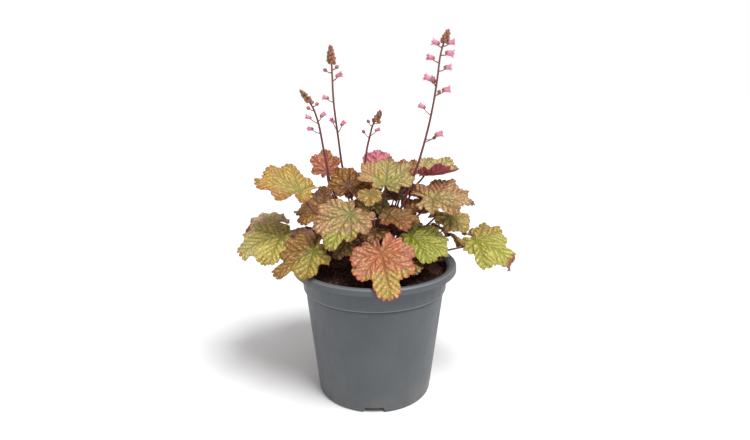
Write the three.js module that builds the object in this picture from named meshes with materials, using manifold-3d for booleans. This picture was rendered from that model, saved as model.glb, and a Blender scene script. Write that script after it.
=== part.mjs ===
// Potted heuchera: a mound of lobed leaves on thin stalks, four flower stems with small
// hanging bells, peat soil, and the round nursery pot that it grows in.
// Millimetres, +Z up, origin at the centre of the pot's base, -Y is the front.
import * as THREE from "three";
import { mergeVertices } from "three/addons/utils/BufferGeometryUtils.js";
import Module from "manifold-3d";

const wasm = await Module();
wasm.setup();

// ---------------------------------------------------------------- driving dimensions
const potHeight = 140;
const rimOuterRadius = 84;
const rimInnerRadius = 78;
const rimLipHeight = 7;
const lipHollow = 4.2;
const bandBottomHeight = 114;
const bandOuterRadius = 73.9;
const bandFlare = 1.6;
const wallTopRadius = 72;
const baseRadius = 59.8;
const wallThickness = 1.6;
const floorThickness = 1.9;
const floorDiscRadius = 29;
const channelOuterRadius = 53;
const drainChannelHeight = 3.4;
const drainNotchWidth = 18;
const drainNotchHeight = 4.4;
const drainNotchCount = 4;
const potFacets = 36;

const clearance = 0.35;
const soilEdgeHeight = 126;
const soilMoundHeight = 130;
const crownRadius = 16;
const crownHeight = 10;

const bladeHalfThickness = 0.5;
const rowDroop = 20;
const rowFold = 8;
const notchDepth = 0.86;
const cleftRadius = 2.4;
const outerLobeSpread = 22;
const stalkRadius = 1.15;
const stalkSides = 5;
const stalkSteps = 7;
const hubRadius = 1.35;
const hubDrop = 2.2;
const stalkLift = 0.35;
const stalkReach = 0.28;
const stalkSteepness = 0.6;
const flowerStemRadius = 1.1;
const pedicelRadius = 0.55;
const bellRadius = 2.9;
const bellLength = 8;
const budRadius = 1.9;

const rad = THREE.MathUtils.degToRad;
const v3 = (x, y, z) => new THREE.Vector3(x, y, z);

// ---------------------------------------------------------------- helpers
// A three.js geometry becomes a manifold-3d solid; a profile wound the other way is turned round.
function solidFrom(geometry) {
  const bare = geometry.index ? geometry.clone() : mergeVertices(geometry, 1e-4);
  bare.deleteAttribute("normal");
  bare.deleteAttribute("uv");
  const merged = mergeVertices(bare, 1e-4);
  const triVerts = new Uint32Array(merged.index.array);
  const vertProperties = merged.attributes.position.array;
  const first = new wasm.Manifold(new wasm.Mesh({ numProp: 3, vertProperties, triVerts }));
  if (first.volume() > 0) return first;
  for (let i = 0; i < triVerts.length; i += 3) {
    [triVerts[i + 1], triVerts[i + 2]] = [triVerts[i + 2], triVerts[i + 1]];
  }
  return new wasm.Manifold(new wasm.Mesh({ numProp: 3, vertProperties, triVerts }));
}

function geometryFrom(solid) {
  const made = solid.getMesh();
  const geometry = new THREE.BufferGeometry();
  const points = new THREE.BufferAttribute(new Float32Array(made.vertProperties), 3);
  geometry.setAttribute("position", points);
  geometry.setIndex(new THREE.BufferAttribute(new Uint32Array(made.triVerts), 1));
  geometry.computeVertexNormals();
  return geometry;
}

// A profile of [radius, height] pairs turned about the upright axis, from a first angle.
function turned(profile, segments, first = 0) {
  const points = profile.map(([radius, height]) => new THREE.Vector2(radius, height));
  const geometry = new THREE.LatheGeometry(points, segments, first);
  geometry.rotateX(Math.PI / 2);
  return geometry;
}

// A round rod of a few sides that follows a curve.
function rodAlong(curve, radius, sides, steps) {
  const section = new THREE.Shape();
  for (let i = 0; i < sides; i += 1) {
    const angle = (2 * Math.PI * i) / sides;
    const x = radius * Math.cos(angle);
    const y = radius * Math.sin(angle);
    if (i === 0) section.moveTo(x, y);
    else section.lineTo(x, y);
  }
  section.closePath();
  return new THREE.ExtrudeGeometry(section, {
    steps,
    bevelEnabled: false,
    extrudePath: curve,
    curveSegments: 1,
  });
}

// A closed skin over rings of points. shares tell how far round each point of a ring stands,
// from 0 to 1, so that rings of different counts can be joined. One point closes an end.
function skinOver(rings) {
  const index = [];
  const points = rings.flatMap((ring) => ring.points);
  const nextShare = ({ points: own, shares }, k) => {
    if (own.length === 1 || k >= own.length) return Infinity;
    return shares[k + 1] ?? 1;
  };
  let first = 0;
  for (let r = 1; r < rings.length; r += 1) {
    const [above, below] = [rings[r - 1], rings[r]];
    const second = first + above.points.length;
    const a = (k) => first + (k % above.points.length);
    const b = (k) => second + (k % below.points.length);
    let i = 0;
    let j = 0;
    while (Math.min(nextShare(above, i), nextShare(below, j)) < Infinity) {
      if (nextShare(above, i) <= nextShare(below, j)) {
        index.push(a(i), a(i + 1), b(j));
        i += 1;
      } else {
        index.push(a(i), b(j + 1), b(j));
        j += 1;
      }
    }
    first = second;
  }
  const geometry = new THREE.BufferGeometry().setFromPoints(points);
  geometry.setIndex(index);
  return geometry;
}

function paint(color, roughness) {
  return new THREE.MeshStandardMaterial({ color, roughness, metalness: 0 });
}

function named(name, geometry, material) {
  const mesh = new THREE.Mesh(geometry, material);
  mesh.name = name;
  return mesh;
}

// ---------------------------------------------------------------- pot
// Thin moulded wall, a turned-down lip with a hollow behind it, a smooth band that steps
// in to the tapering wall, and a floor raised into a ring-shaped drain channel.
function makePot() {
  const lipBottom = potHeight - rimLipHeight;
  const hollowTop = lipBottom + lipHollow;
  const bandTopRadius = bandOuterRadius + bandFlare;
  const channelTop = drainChannelHeight + floorThickness;
  const footInner = channelOuterRadius + 1;
  const profile = [
    [0, 0],
    [floorDiscRadius, 0],
    [floorDiscRadius + 1, drainChannelHeight],
    [channelOuterRadius, drainChannelHeight],
    [footInner, 0],
    [baseRadius - 1.6, 0],
    [baseRadius - 0.4, 0.6],
    [baseRadius, 2],
    [wallTopRadius, bandBottomHeight - 1],
    [bandOuterRadius, bandBottomHeight + 0.5],
    [bandTopRadius, hollowTop - 0.8],
    [bandTopRadius + 0.6, hollowTop],
    [rimOuterRadius - 2, hollowTop],
    [rimOuterRadius - 1.5, lipBottom],
    [rimOuterRadius, lipBottom],
    [rimOuterRadius - 0.2, potHeight - 1.6],
    [rimOuterRadius - 1.8, potHeight - 0.1],
    [rimInnerRadius + 1, potHeight],
    [rimInnerRadius - 0.6, potHeight - 0.9],
    [bandTopRadius - wallThickness + 0.4, hollowTop - 0.6],
    [bandOuterRadius - wallThickness, bandBottomHeight + 0.5],
    [wallTopRadius - wallThickness, bandBottomHeight - 1.4],
    [baseRadius - wallThickness, 3.2],
    [baseRadius - wallThickness - 1.4, floorThickness],
    [footInner + floorThickness, floorThickness],
    [channelOuterRadius + 0.5, channelTop],
    [floorDiscRadius + 0.5, channelTop],
    [floorDiscRadius - 1, floorThickness],
    [0, floorThickness],
  ];
  // A facet's middle faces each notch, so that no notch edge runs close to a facet's edge.
  let pot = solidFrom(turned(profile, potFacets, Math.PI / potFacets));
  // Drain notches: a trapezoid cut through the foot ring, wider at the ground.
  const half = drainNotchWidth / 2;
  const notch = new THREE.Shape();
  notch.moveTo(-half - 3, -1);
  notch.lineTo(half + 3, -1);
  notch.lineTo(half, drainNotchHeight);
  notch.lineTo(-half, drainNotchHeight);
  notch.closePath();
  for (let i = 0; i < drainNotchCount; i += 1) {
    const cutter = new THREE.ExtrudeGeometry(notch, { depth: 12, bevelEnabled: false });
    cutter.rotateX(Math.PI / 2);
    cutter.translate(0, -channelOuterRadius + 1, 0);
    cutter.rotateZ((2 * Math.PI * i) / drainNotchCount);
    pot = pot.subtract(solidFrom(cutter));
  }
  return named("pot", geometryFrom(pot), paint(0x4f565b, 0.55));
}

// ---------------------------------------------------------------- soil and crown
// Peat fills the pot to about a finger's width below the lip and is a little lumpy on top.
function makeSoil() {
  const fit = wallThickness + clearance + 0.2;
  const slope = (wallTopRadius - baseRadius) / (bandBottomHeight - 3);
  const seat = drainChannelHeight + floorThickness + clearance;
  const profile = [
    [0, seat],
    [baseRadius - fit - 3, seat],
    [baseRadius - fit + slope * (seat + 3) - 1, seat + 4],
    [wallTopRadius - fit - 0.3, bandBottomHeight - 2],
    [bandOuterRadius - fit - 0.4, bandBottomHeight + 1.5],
    [bandOuterRadius - fit + 0.5, soilEdgeHeight - 1.5],
    [bandOuterRadius - fit - 2, soilEdgeHeight],
    [60, soilEdgeHeight + 1.5],
    [42, soilEdgeHeight + 2.6],
    [26, soilMoundHeight - 0.6],
    [crownRadius + 3, soilMoundHeight],
    [0, soilMoundHeight],
  ];
  const geometry = turned(profile, 30);
  const points = geometry.attributes.position;
  for (let i = 0; i < points.count; i += 1) {
    const x = points.getX(i);
    const y = points.getY(i);
    const z = points.getZ(i);
    const reach = Math.hypot(x, y);
    if (z > soilEdgeHeight && reach > crownRadius + 4 && reach < 62) {
      points.setZ(i, z + 0.9 * Math.sin(x * 0.23 + 1) * Math.cos(y * 0.19) - 0.4);
    }
  }
  return named("soil", geometryFrom(solidFrom(geometry)), paint(0x2a1d17, 0.95));
}

const crownSeat = soilMoundHeight + clearance;

// The short woody crown that every stalk rises from.
function makeCrown() {
  const profile = [[0, crownSeat]];
  for (let i = 0; i <= 4; i += 1) {
    const angle = (Math.PI / 2) * (i / 5);
    profile.push([crownRadius * Math.cos(angle), crownSeat + crownHeight * Math.sin(angle)]);
  }
  profile.push([0, crownSeat + crownHeight]);
  const solid = solidFrom(turned(profile, 20));
  return named("crown", geometryFrom(solid), paint(0x5b3a2a, 0.85));
}

// The place on the crown where a stalk starts, and the way it leaves.
function rootOn(azimuth, elevation) {
  const a = rad(azimuth);
  const e = rad(elevation);
  const out = v3(Math.cos(a) * Math.cos(e), Math.sin(a) * Math.cos(e), Math.sin(e));
  const reach = crownRadius + clearance + 0.1;
  const rise = crownHeight + clearance + 0.1;
  const start = v3(out.x * reach, out.y * reach, crownSeat + out.z * rise);
  const lift = v3(0, 0, 0.35);
  return { start, way: out.clone().add(lift).normalize() };
}

// ---------------------------------------------------------------- leaves
// at: where the stalk meets the blade. heading: plan angle of the middle vein (0 is +X,
// 90 is the back). dip: how far the tip points below level. lean: turn about the middle
// vein. droop and fold: degrees that the blade bends along and across, plus is downwards.
// lobes: [angle from the middle vein, vein length]. root: where on the crown the stalk
// starts, as [azimuth, elevation]. via: points that a stalk passes on its way.
const leaves = [
  { at: [-74, 0, 213], heading: 205, dip: -15, lean: -20, droop: 10, fold: -15, size: 46,
    root: [190, 45], via: [[-38, -4, 165], [-60, -4, 191]], color: 0xb3a048,
    lobes: [[-135, 31], [-85, 44], [-45, 45], [-10, 47], [40, 40], [75, 28], [145, 15]] },
  { at: [-51, 40, 226], heading: 100, dip: -60, lean: 0, droop: -10, fold: -30, size: 24,
    root: [140, 44], color: 0xa8674a,
    lobes: [[-140, 8], [-92, 14], [-46, 20], [0, 25], [44, 23], [92, 17], [140, 9]] },
  { at: [-95, -5, 166], heading: -150, dip: -5, lean: -20, droop: 50, fold: 15, size: 44,
    root: [185, 20], color: 0x9ba04e,
    lobes: [[-140, 26], [-98, 36], [-48, 41], [0, 47], [55, 41], [95, 26], [140, 16]] },
  { at: [-108, 28, 172], heading: 185, dip: -5, lean: -15, droop: 40, fold: 15, size: 38,
    root: [162, 20], color: 0x94783f,
    lobes: [[-140, 20], [-90, 30], [-50, 33], [0, 38], [48, 33], [95, 28], [140, 20]] },
  { at: [-59, -35, 161], heading: -148, dip: 20, lean: -18, droop: 15, fold: 12, size: 44,
    root: [212, 20], color: 0xa0843c,
    lobes: [[-135, 25], [-102, 36], [-42, 34], [-3, 45], [45, 35], [97, 23], [152, 14]] },
  { at: [-23, -25, 195], heading: -128, dip: 25, lean: -18, droop: 35, fold: 12, size: 42,
    root: [238, 58], color: 0xa48f4e,
    lobes: [[-133, 27], [-90, 35], [-42, 39], [6, 44], [34, 32], [70, 28], [122, 24]] },
  { at: [-55, 34, 188], heading: 175, dip: 0, lean: -30, droop: 30, fold: 0, size: 34,
    root: [162, 44], color: 0x8a6f3c,
    lobes: [[-126, 22], [-84, 32], [-45, 31], [-8, 31], [42, 33], [95, 28], [140, 22]] },
  { at: [-27, 15, 214], heading: 90, dip: -40, lean: 8, droop: 5, fold: 5, size: 28,
    root: [155, 66], color: 0x7d5a2c,
    lobes: [[-138, 18], [-90, 24], [-36, 27], [0, 28], [40, 25], [92, 22], [138, 17]] },
  { at: [11, 10, 217], heading: 90, dip: -22, lean: 4, droop: -20, fold: -45, size: 38,
    root: [60, 82], color: 0xb0a455,
    lobes: [[-146, 20], [-88, 31], [-46, 40], [-4, 42], [42, 37], [94, 30], [135, 18]] },
  { at: [3, 62, 225], heading: -88, dip: -100, lean: 0, droop: 10, fold: -10, size: 23,
    root: [85, 44], color: 0xc4556a,
    lobes: [[-135, 14], [-88, 19], [-40, 22], [0, 22], [38, 22], [88, 19], [135, 14]] },
  { at: [34, 35, 220], heading: 58, dip: -45, lean: 0, droop: 0, fold: 5, size: 28,
    root: [44, 68], via: [[13, 12, 166], [23, 19, 198]], color: 0xa88c46,
    lobes: [[-138, 8], [-92, 9], [-38, 15], [0, 25], [36, 28], [92, 22], [138, 16]] },
  { at: [53, 46, 221], heading: -8, dip: 2, lean: -4, droop: -25, fold: -62, size: 34,
    root: [36, 42], via: [[27, 28, 175], [43, 41, 209]], color: 0xa69248,
    lobes: [[-138, 6], [-95, 25], [-50, 36], [0, 39], [47, 41], [92, 36], [138, 16]] },
  { at: [59, 5, 203], heading: -15, dip: -2, lean: 18, droop: 10, fold: -5, size: 44,
    root: [8, 42], via: [[25, 5, 166], [45, 4, 187]], color: 0xaa9556,
    lobes: [[-130, 22], [-85, 26], [-38, 37], [0, 44], [37, 40], [74, 43], [140, 32]] },
  { at: [79, 22, 180], heading: -35, dip: 23, lean: 12, droop: 15, fold: 5, size: 24,
    root: [22, 20], via: [[40, 9, 158], [62, 13, 171]], color: 0x7f8440,
    lobes: [[-146, 17], [-100, 20], [-55, 22], [-3, 25], [55, 24], [100, 20], [145, 15]] },
  { at: [105, 0, 161], heading: -27, dip: 8, lean: 20, droop: 45, fold: 5, size: 44,
    root: [0, 18], via: [[45, 0, 143], [78, 0, 151]], color: 0xa7b04c,
    lobes: [[-138, 16], [-100, 24], [-58, 38], [-5, 52], [60, 36], [95, 34], [142, 25]] },
  { at: [36, -20, 171], heading: -15, dip: 12, lean: 15, droop: 30, fold: 10, size: 44,
    root: [332, 34], color: 0x8b9440,
    lobes: [[-135, 14], [-85, 32], [-45, 38], [2, 42], [40, 41], [85, 35], [135, 22]] },
  { at: [6, -50, 163], heading: -85, dip: 28, lean: 5, droop: 12, fold: 15, size: 46,
    root: [278, 22], color: 0xc98a5e,
    lobes: [[-148, 24], [-84, 30], [-42, 36], [4, 52], [43, 38], [86, 32], [147, 27]] },
  { at: [13, -10, 190], heading: -15, dip: 2, lean: 12, droop: 15, fold: 14, size: 34,
    root: [332, 62], color: 0x9a7a48,
    lobes: [[-138, 12], [-90, 20], [-42, 32], [0, 33], [48, 31], [88, 24], [138, 14]] },
  { at: [-5, -14, 213], heading: -90, dip: 30, lean: 0, droop: 20, fold: 0, size: 17,
    root: [240, 84], color: 0x9c9a48,
    lobes: [[-135, 10], [-92, 13], [-52, 14], [0, 17], [46, 15], [92, 13], [135, 10]] },
  { at: [21, 33, 201], heading: 60, dip: -27, lean: 15, droop: 10, fold: 5, size: 28,
    root: [68, 64], color: 0x5c4a22,
    lobes: [[-138, 10], [-90, 14], [-44, 16], [0, 21], [46, 20], [90, 15], [138, 12]] },
  { at: [0, -22, 176], heading: -92, dip: 12, lean: 2, droop: 20, fold: 5, size: 18,
    root: [272, 58], color: 0x8a6a44,
    lobes: [[-138, 11], [-92, 15], [-50, 17], [0, 18], [50, 17], [92, 15], [138, 11]] },
  { at: [-25, -22, 168], heading: -138, dip: 34, lean: 0, droop: 18, fold: 15, size: 24,
    root: [243, 32], color: 0x8c8444,
    lobes: [[-138, 14], [-92, 19], [-46, 22], [0, 24], [46, 21], [92, 14], [138, 11]] },
  { at: [-52, 66, 182], heading: 132, dip: 10, lean: 5, droop: 30, fold: 15, size: 44,
    root: [128, 20], color: 0x98884a },
  { at: [-8, 82, 174], heading: 95, dip: 14, lean: -4, droop: 35, fold: 15, size: 46,
    root: [98, 20], color: 0xa0924a },
  { at: [34, 74, 188], heading: 58, dip: 8, lean: 6, droop: 30, fold: 12, size: 42,
    root: [68, 22], color: 0x9a7c44 },
  { at: [72, 58, 176], heading: 28, dip: 12, lean: 4, droop: 30, fold: 15, size: 42,
    root: [45, 18], color: 0x8f9044 },
];

// Leaves that the others hide grow in rows around the crown, and the leaves of a row differ
// only in their azimuth. distance: from the plant's axis to where the stalk meets the blade.
// height: of that place. rise: elevation on the crown at which the stalk starts.
const rows = [
  { azimuths: [30, 57, 84, 111, 138], distance: 95, height: 155, dip: 27, lean: 12, size: 36,
    rise: 14, color: 0x98904a },
  { azimuths: [60, 105], distance: 74, height: 207, dip: 28, lean: 9, size: 36,
    rise: 31, color: 0xa38a4c },
  { azimuths: [264, 304, 344], distance: 52, height: 152, dip: 10, lean: 0, size: 20,
    rise: 35, color: 0x7e7c3a },
  { azimuths: [20, 70], distance: 38, height: 162, dip: -50, lean: 0, size: 20,
    rise: 40, color: 0x75633a },
  { azimuths: [114, 174], distance: 36, height: 180, dip: -50, lean: 0, size: 22,
    rise: 52, color: 0x84703a },
  { azimuths: [60], distance: 32, height: 178, dip: -50, lean: 0, size: 18,
    rise: 56, color: 0x75633a },
  { azimuths: [20], distance: 38, height: 188, dip: -50, lean: 0, size: 20,
    rise: 56, color: 0x96663e },
  { azimuths: [95], distance: 20, height: 194, dip: -50, lean: 0, size: 22,
    rise: 75, color: 0x8c8444 },
];

// A flat distance turned into an arc that bends by the given angle per unit size.
function bendOver(distance, degrees, size) {
  const rate = rad(degrees) / size;
  if (Math.abs(rate) < 1e-6) return { along: distance, drop: 0, slope: 0 };
  const slope = rate * distance;
  return { along: Math.sin(slope) / rate, drop: (1 - Math.cos(slope)) / rate, slope };
}

// A point of the blade's middle surface in its own frame, and the surface normal there.
function bladePoint(leaf, degrees, radius) {
  const angle = rad(degrees);
  const across = bendOver(-radius * Math.sin(angle), leaf.fold, leaf.size);
  const along = bendOver(radius * Math.cos(angle), leaf.droop, leaf.size);
  const point = v3(across.along, along.along, -across.drop - along.drop);
  const normal = v3(Math.tan(across.slope), Math.tan(along.slope), 1).normalize();
  return { point, normal };
}

// The leaves of one row.
function leavesInRow({ azimuths, distance, height, rise, ...blade }) {
  return azimuths.map((azimuth) => ({
    ...blade,
    at: [distance * Math.cos(rad(azimuth)), distance * Math.sin(rad(azimuth)), height],
    heading: azimuth,
    droop: rowDroop,
    fold: rowFold,
    root: [azimuth, rise],
  }));
}

// Seven lobes in the usual order of sizes, for a leaf with no lobes of its own.
function evenLobes(length) {
  const shares = [[-142, 0.62], [-96, 0.83], [-48, 0.92], [0, 1], [48, 0.92], [96, 0.83],
    [142, 0.62]];
  return shares.map(([angle, share]) => [angle, share * length]);
}

// The outline as [angle, radius] pairs: a notch and two shoulders for every lobe, and the
// stalk cleft at the back, where the outline runs in almost to the stalk.
function outlineOf(leaf) {
  const lobes = leaf.lobes ?? evenLobes(leaf.size);
  const last = lobes.length - 1;
  const rim = [[-180, cleftRadius]];
  for (let i = 0; i <= last; i += 1) {
    const [angle, length] = lobes[i];
    const before = i === 0 ? angle - outerLobeSpread : (lobes[i - 1][0] + angle) / 2;
    const after = i === last ? angle + outerLobeSpread : (lobes[i + 1][0] + angle) / 2;
    const low = i === 0 ? length * 0.6 : notchDepth * Math.min(length, lobes[i - 1][1]);
    rim.push([before, low]);
    rim.push([angle - 0.4 * (angle - before), length]);
    rim.push([angle + 0.4 * (after - angle), length]);
    if (i === last) rim.push([after, length * 0.6]);
  }
  return rim;
}

// The rings of the blade: out over its top, round the thin rim, and in under it to the hub
// that the stalk grows from.
function bladeRings(leaf, turn) {
  const rim = outlineOf(leaf);
  const shares = rim.map(([degrees]) => (degrees + 180) / 360);
  const onBlade = (degrees, radius, side) => {
    const { point, normal } = bladePoint(leaf, degrees, radius);
    point.addScaledVector(normal, bladeHalfThickness * side);
    return point.applyEuler(turn).add(v3(...leaf.at));
  };
  const ring = (radiusOf, side) => {
    const points = rim.map(([degrees, reach]) => onBlade(degrees, radiusOf(reach), side));
    return { points, shares };
  };
  return [
    { points: [onBlade(0, 0, 1)], shares: [0] },
    ring((reach) => 0.55 * reach, 0.9),
    ring((reach) => reach, 0),
    ring((reach) => 0.55 * reach, -0.9),
    ring((reach) => Math.min(hubRadius, 0.3 * reach), -1),
  ];
}

// The rings of the stalk, from the hub down to the crown. It leaves the crown, arches out
// and runs into the blade from below.
function stalkRings(leaf, turn) {
  const up = v3(0, 0, 1).applyEuler(turn);
  const outward = v3(0, 1, 0).applyEuler(turn);
  const arrive = up.clone().multiplyScalar(stalkSteepness);
  arrive.addScaledVector(outward, 1 - stalkSteepness).normalize();
  const end = v3(...leaf.at).addScaledVector(up, -0.9 * bladeHalfThickness);
  const { start, way } = rootOn(...leaf.root);
  const span = start.distanceTo(end);
  const rise = start.clone().addScaledVector(way, span * stalkLift);
  const under = end.clone().addScaledVector(arrive, -span * stalkReach);
  let curve = new THREE.CubicBezierCurve3(start, rise, under, end);
  if (leaf.via) {
    const near = end.clone().addScaledVector(arrive, -5);
    const off = start.clone().addScaledVector(way, 4);
    const between = leaf.via.map((p) => v3(...p));
    curve = new THREE.CatmullRomCurve3([start, off, ...between, near, end]);
  }
  const topShare = 1 - hubDrop / curve.getLength();
  const across = outward.clone();
  const rings = [];
  for (let i = 0; i <= stalkSteps; i += 1) {
    const share = topShare * (1 - i / stalkSteps);
    const centre = curve.getPointAt(share);
    const ahead = curve.getTangentAt(share);
    across.addScaledVector(ahead, -across.dot(ahead)).normalize();
    const aside = across.clone().cross(ahead);
    const points = [];
    for (let k = 0; k < stalkSides; k += 1) {
      const angle = (2 * Math.PI * k) / stalkSides - Math.PI;
      const place = centre.clone().addScaledVector(aside, -stalkRadius * Math.sin(angle));
      points.push(place.addScaledVector(across, stalkRadius * Math.cos(angle)));
    }
    rings.push({ points, shares: points.map((_, k) => k / stalkSides) });
  }
  rings.push({ points: [curve.getPointAt(0)], shares: [0] });
  return rings;
}

// A leaf grew as one piece, so one skin covers its blade and its stalk.
function makeLeaf(name, leaf) {
  const turn = new THREE.Euler(rad(-leaf.dip), rad(leaf.lean), rad(leaf.heading - 90), "ZXY");
  const skin = skinOver([...bladeRings(leaf, turn), ...stalkRings(leaf, turn)]);
  return named(name, geometryFrom(solidFrom(skin)), paint(leaf.color, 0.6));
}

// ---------------------------------------------------------------- flower stems
// path: points up the stem. bells: [height on the stem, bell position]. buds: loose buds
// on short stalks. head: how many buds make up the cone at the tip, and how long it is.
const flowerStems = [
  { root: [178, 62], head: { buds: 10, length: 12, radius: 4.1 },
    path: [[-20, 14, 168], [-44, 26, 208], [-53, 27, 252], [-57, 26, 276], [-62, 26, 292],
      [-68, 26, 302], [-74, 26, 310]],
    bells: [[277, [-67, 23, 284]], [279, [-53, 28, 286]], [267, [-66, 29, 272]]],
    buds: [[294, [-58, 24, 297]], [290, [-67, 24, 293]]] },
  { root: [122, 64], head: { buds: 14, length: 17, radius: 4.3 },
    path: [[-14, 20, 170], [-33, 39, 224], [-38, 34, 262], [-42, 32, 300], [-43, 32, 329],
      [-44, 32, 353]],
    bells: [[319, [-36, 30, 325]], [298, [-50, 33, 303]], [267, [-33, 35, 277]],
      [269, [-43, 26, 280]]],
    buds: [[327, [-50, 32, 330]], [330, [-38, 33, 333]]] },
  { root: [100, 60], head: { buds: 10, length: 12, radius: 4.3 },
    path: [[-3, 26, 172], [-11, 50, 215], [-9, 54, 245], [-5, 54, 263], [-2, 54, 274],
      [3, 54, 282], [6, 54, 289]],
    bells: [[262, [3, 53, 269]]],
    buds: [[272, [-7, 53, 278]], [275, [5, 55, 277]], [260, [-12, 54, 267]]] },
  { root: [14, 64], head: { buds: 9, length: 11, radius: 4.1 },
    path: [[17, 10, 168], [31, 15, 200], [43, 15, 234], [53, 14, 272], [58, 14, 298],
      [61, 14, 320], [64, 14, 346], [70, 14, 366]],
    bells: [[351, [73, 13, 355]], [350, [59, 16, 355]], [343, [72, 12, 345]],
      [336, [54, 12, 341]], [328, [71, 15, 332]], [315, [52, 13, 322]],
      [313, [58, 20, 320]], [305, [70, 13, 311]], [286, [47, 16, 295]], [259, [64, 12, 268]]],
    buds: [[262, [60, 15, 264]], [304, [64, 19, 309]]] },
];

// A small closed bell, mouth away from its stalk, hollowed a little at the mouth.
function bellAt(centre, away) {
  const profile = [
    [0, -bellLength * 0.5],
    [bellRadius * 0.6, -bellLength * 0.42],
    [bellRadius * 0.85, -bellLength * 0.05],
    [bellRadius, bellLength * 0.5],
    [0, bellLength * 0.12],
  ];
  const geometry = turned(profile, 6);
  const turn = new THREE.Quaternion().setFromUnitVectors(v3(0, 0, 1), away);
  geometry.applyQuaternion(turn);
  geometry.translate(centre.x, centre.y, centre.z);
  return solidFrom(geometry);
}

function budAt(centre, radius) {
  const geometry = new THREE.IcosahedronGeometry(radius, 0);
  geometry.translate(centre.x, centre.y, centre.z);
  return solidFrom(geometry);
}

function makeFlowerStem(name, spec) {
  const { start, way } = rootOn(...spec.root);
  const off = start.clone().addScaledVector(way, 5);
  const curve = new THREE.CatmullRomCurve3([start, off, ...spec.path.map((p) => v3(...p))]);
  const steps = 22;
  let stem = solidFrom(rodAlong(curve, flowerStemRadius, 6, steps));
  // The point of the stem's straight pieces at a given height.
  const bends = curve.getSpacedPoints(steps);
  const pointAt = (height) => {
    const above = Math.max(1, bends.findIndex((p) => p.z > height));
    const low = bends[above - 1];
    const high = bends[above];
    return low.clone().lerp(high, (height - low.z) / (high.z - low.z));
  };
  const stalkTo = (height, place, radius) => {
    const from = pointAt(height);
    const bow = from.clone().lerp(place, 0.5).add(v3(0, 0, -0.8));
    const line = new THREE.QuadraticBezierCurve3(from, bow, place);
    stem = stem.add(solidFrom(rodAlong(line, radius, 4, 2)));
    return place.clone().sub(from).normalize();
  };
  for (const [height, position] of spec.bells) {
    const place = v3(...position);
    const away = stalkTo(height, place.clone(), pedicelRadius);
    const hang = away.add(v3(0, 0, -0.35)).normalize();
    stem = stem.add(bellAt(place, hang));
  }
  for (const [height, position] of spec.buds) {
    const place = v3(...position);
    stalkTo(height, place.clone(), pedicelRadius);
    stem = stem.add(budAt(place, budRadius));
  }
  // The cone of unopened buds winds up round the last part of the stem.
  const tip = curve.getPoint(1).add(v3(0, 0, -0.5));
  for (let i = 0; i < spec.head.buds; i += 1) {
    const up = i / (spec.head.buds - 1);
    const angle = i * 2.4;
    const ring = (spec.head.radius - budRadius) * (1 - 0.75 * up);
    const middle = pointAt(tip.z - spec.head.length * (0.85 - up * 0.85));
    const place = middle.add(v3(ring * Math.cos(angle), ring * Math.sin(angle), 0.6));
    stem = stem.add(budAt(place, budRadius * (1.15 - 0.4 * up)));
  }
  return named(name, geometryFrom(stem), paint(0x6e3440, 0.55));
}

// ---------------------------------------------------------------- assembly
const plant = new THREE.Group();
plant.add(makePot(), makeSoil(), makeCrown());
[...leaves, ...rows.flatMap(leavesInRow)].forEach((leaf, index) => {
  plant.add(makeLeaf(`leaf_${String(index + 1).padStart(2, "0")}`, leaf));
});
flowerStems.forEach((spec, index) => {
  plant.add(makeFlowerStem(`flower_stem_${index + 1}`, spec));
});

export default plant;
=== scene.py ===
# %% [markdown]
# # A potted heuchera
#
# The object is a young heuchera in a round nursery pot: a mound of lobed, quilted leaves,
# four thin flower stems with small pink bells, and dark peat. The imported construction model
# gives every piece its place and its size. This lesson builds the finished piece around each
# of those places, in metres, with the same origin and the same axes.

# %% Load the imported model
import math
import random

import bmesh
import bpy
import numpy as np
from mathutils import Matrix, Vector


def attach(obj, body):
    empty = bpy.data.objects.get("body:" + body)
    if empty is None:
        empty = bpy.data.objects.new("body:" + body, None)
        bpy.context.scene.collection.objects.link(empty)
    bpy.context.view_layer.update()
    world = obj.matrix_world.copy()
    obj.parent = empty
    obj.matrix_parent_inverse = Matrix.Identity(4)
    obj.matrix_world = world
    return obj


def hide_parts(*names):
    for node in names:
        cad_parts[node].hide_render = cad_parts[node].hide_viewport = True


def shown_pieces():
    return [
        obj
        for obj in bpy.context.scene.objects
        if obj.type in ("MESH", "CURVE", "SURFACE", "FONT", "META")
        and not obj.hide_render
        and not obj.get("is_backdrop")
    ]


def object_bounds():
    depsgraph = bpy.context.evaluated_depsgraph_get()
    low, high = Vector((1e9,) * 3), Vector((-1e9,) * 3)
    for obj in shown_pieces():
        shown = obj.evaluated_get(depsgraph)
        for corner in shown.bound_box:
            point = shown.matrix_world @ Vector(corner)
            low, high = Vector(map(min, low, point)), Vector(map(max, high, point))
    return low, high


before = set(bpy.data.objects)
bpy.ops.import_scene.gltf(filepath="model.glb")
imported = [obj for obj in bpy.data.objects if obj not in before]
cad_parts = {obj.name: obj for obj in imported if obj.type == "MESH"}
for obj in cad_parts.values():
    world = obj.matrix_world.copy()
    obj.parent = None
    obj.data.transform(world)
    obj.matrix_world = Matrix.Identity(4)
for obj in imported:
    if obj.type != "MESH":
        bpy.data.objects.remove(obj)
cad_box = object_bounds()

scene = bpy.context.scene
MM = 0.001
print("nodes in the frame:", len(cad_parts))
print("size in millimetres:", [round((b - a) / MM) for a, b in zip(*cad_box)])

# %% [markdown]
# ## Camera
#
# A plant in a pot is mostly looked at from a little above its leaves. The camera stands half a
# metre in front, at the height of the upper flowers, and tips down by about fourteen degrees.

# %% Camera
eye = (0.0003, -0.512, 0.314)
look_down = 14.4
lens_mm = 24.96

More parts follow.
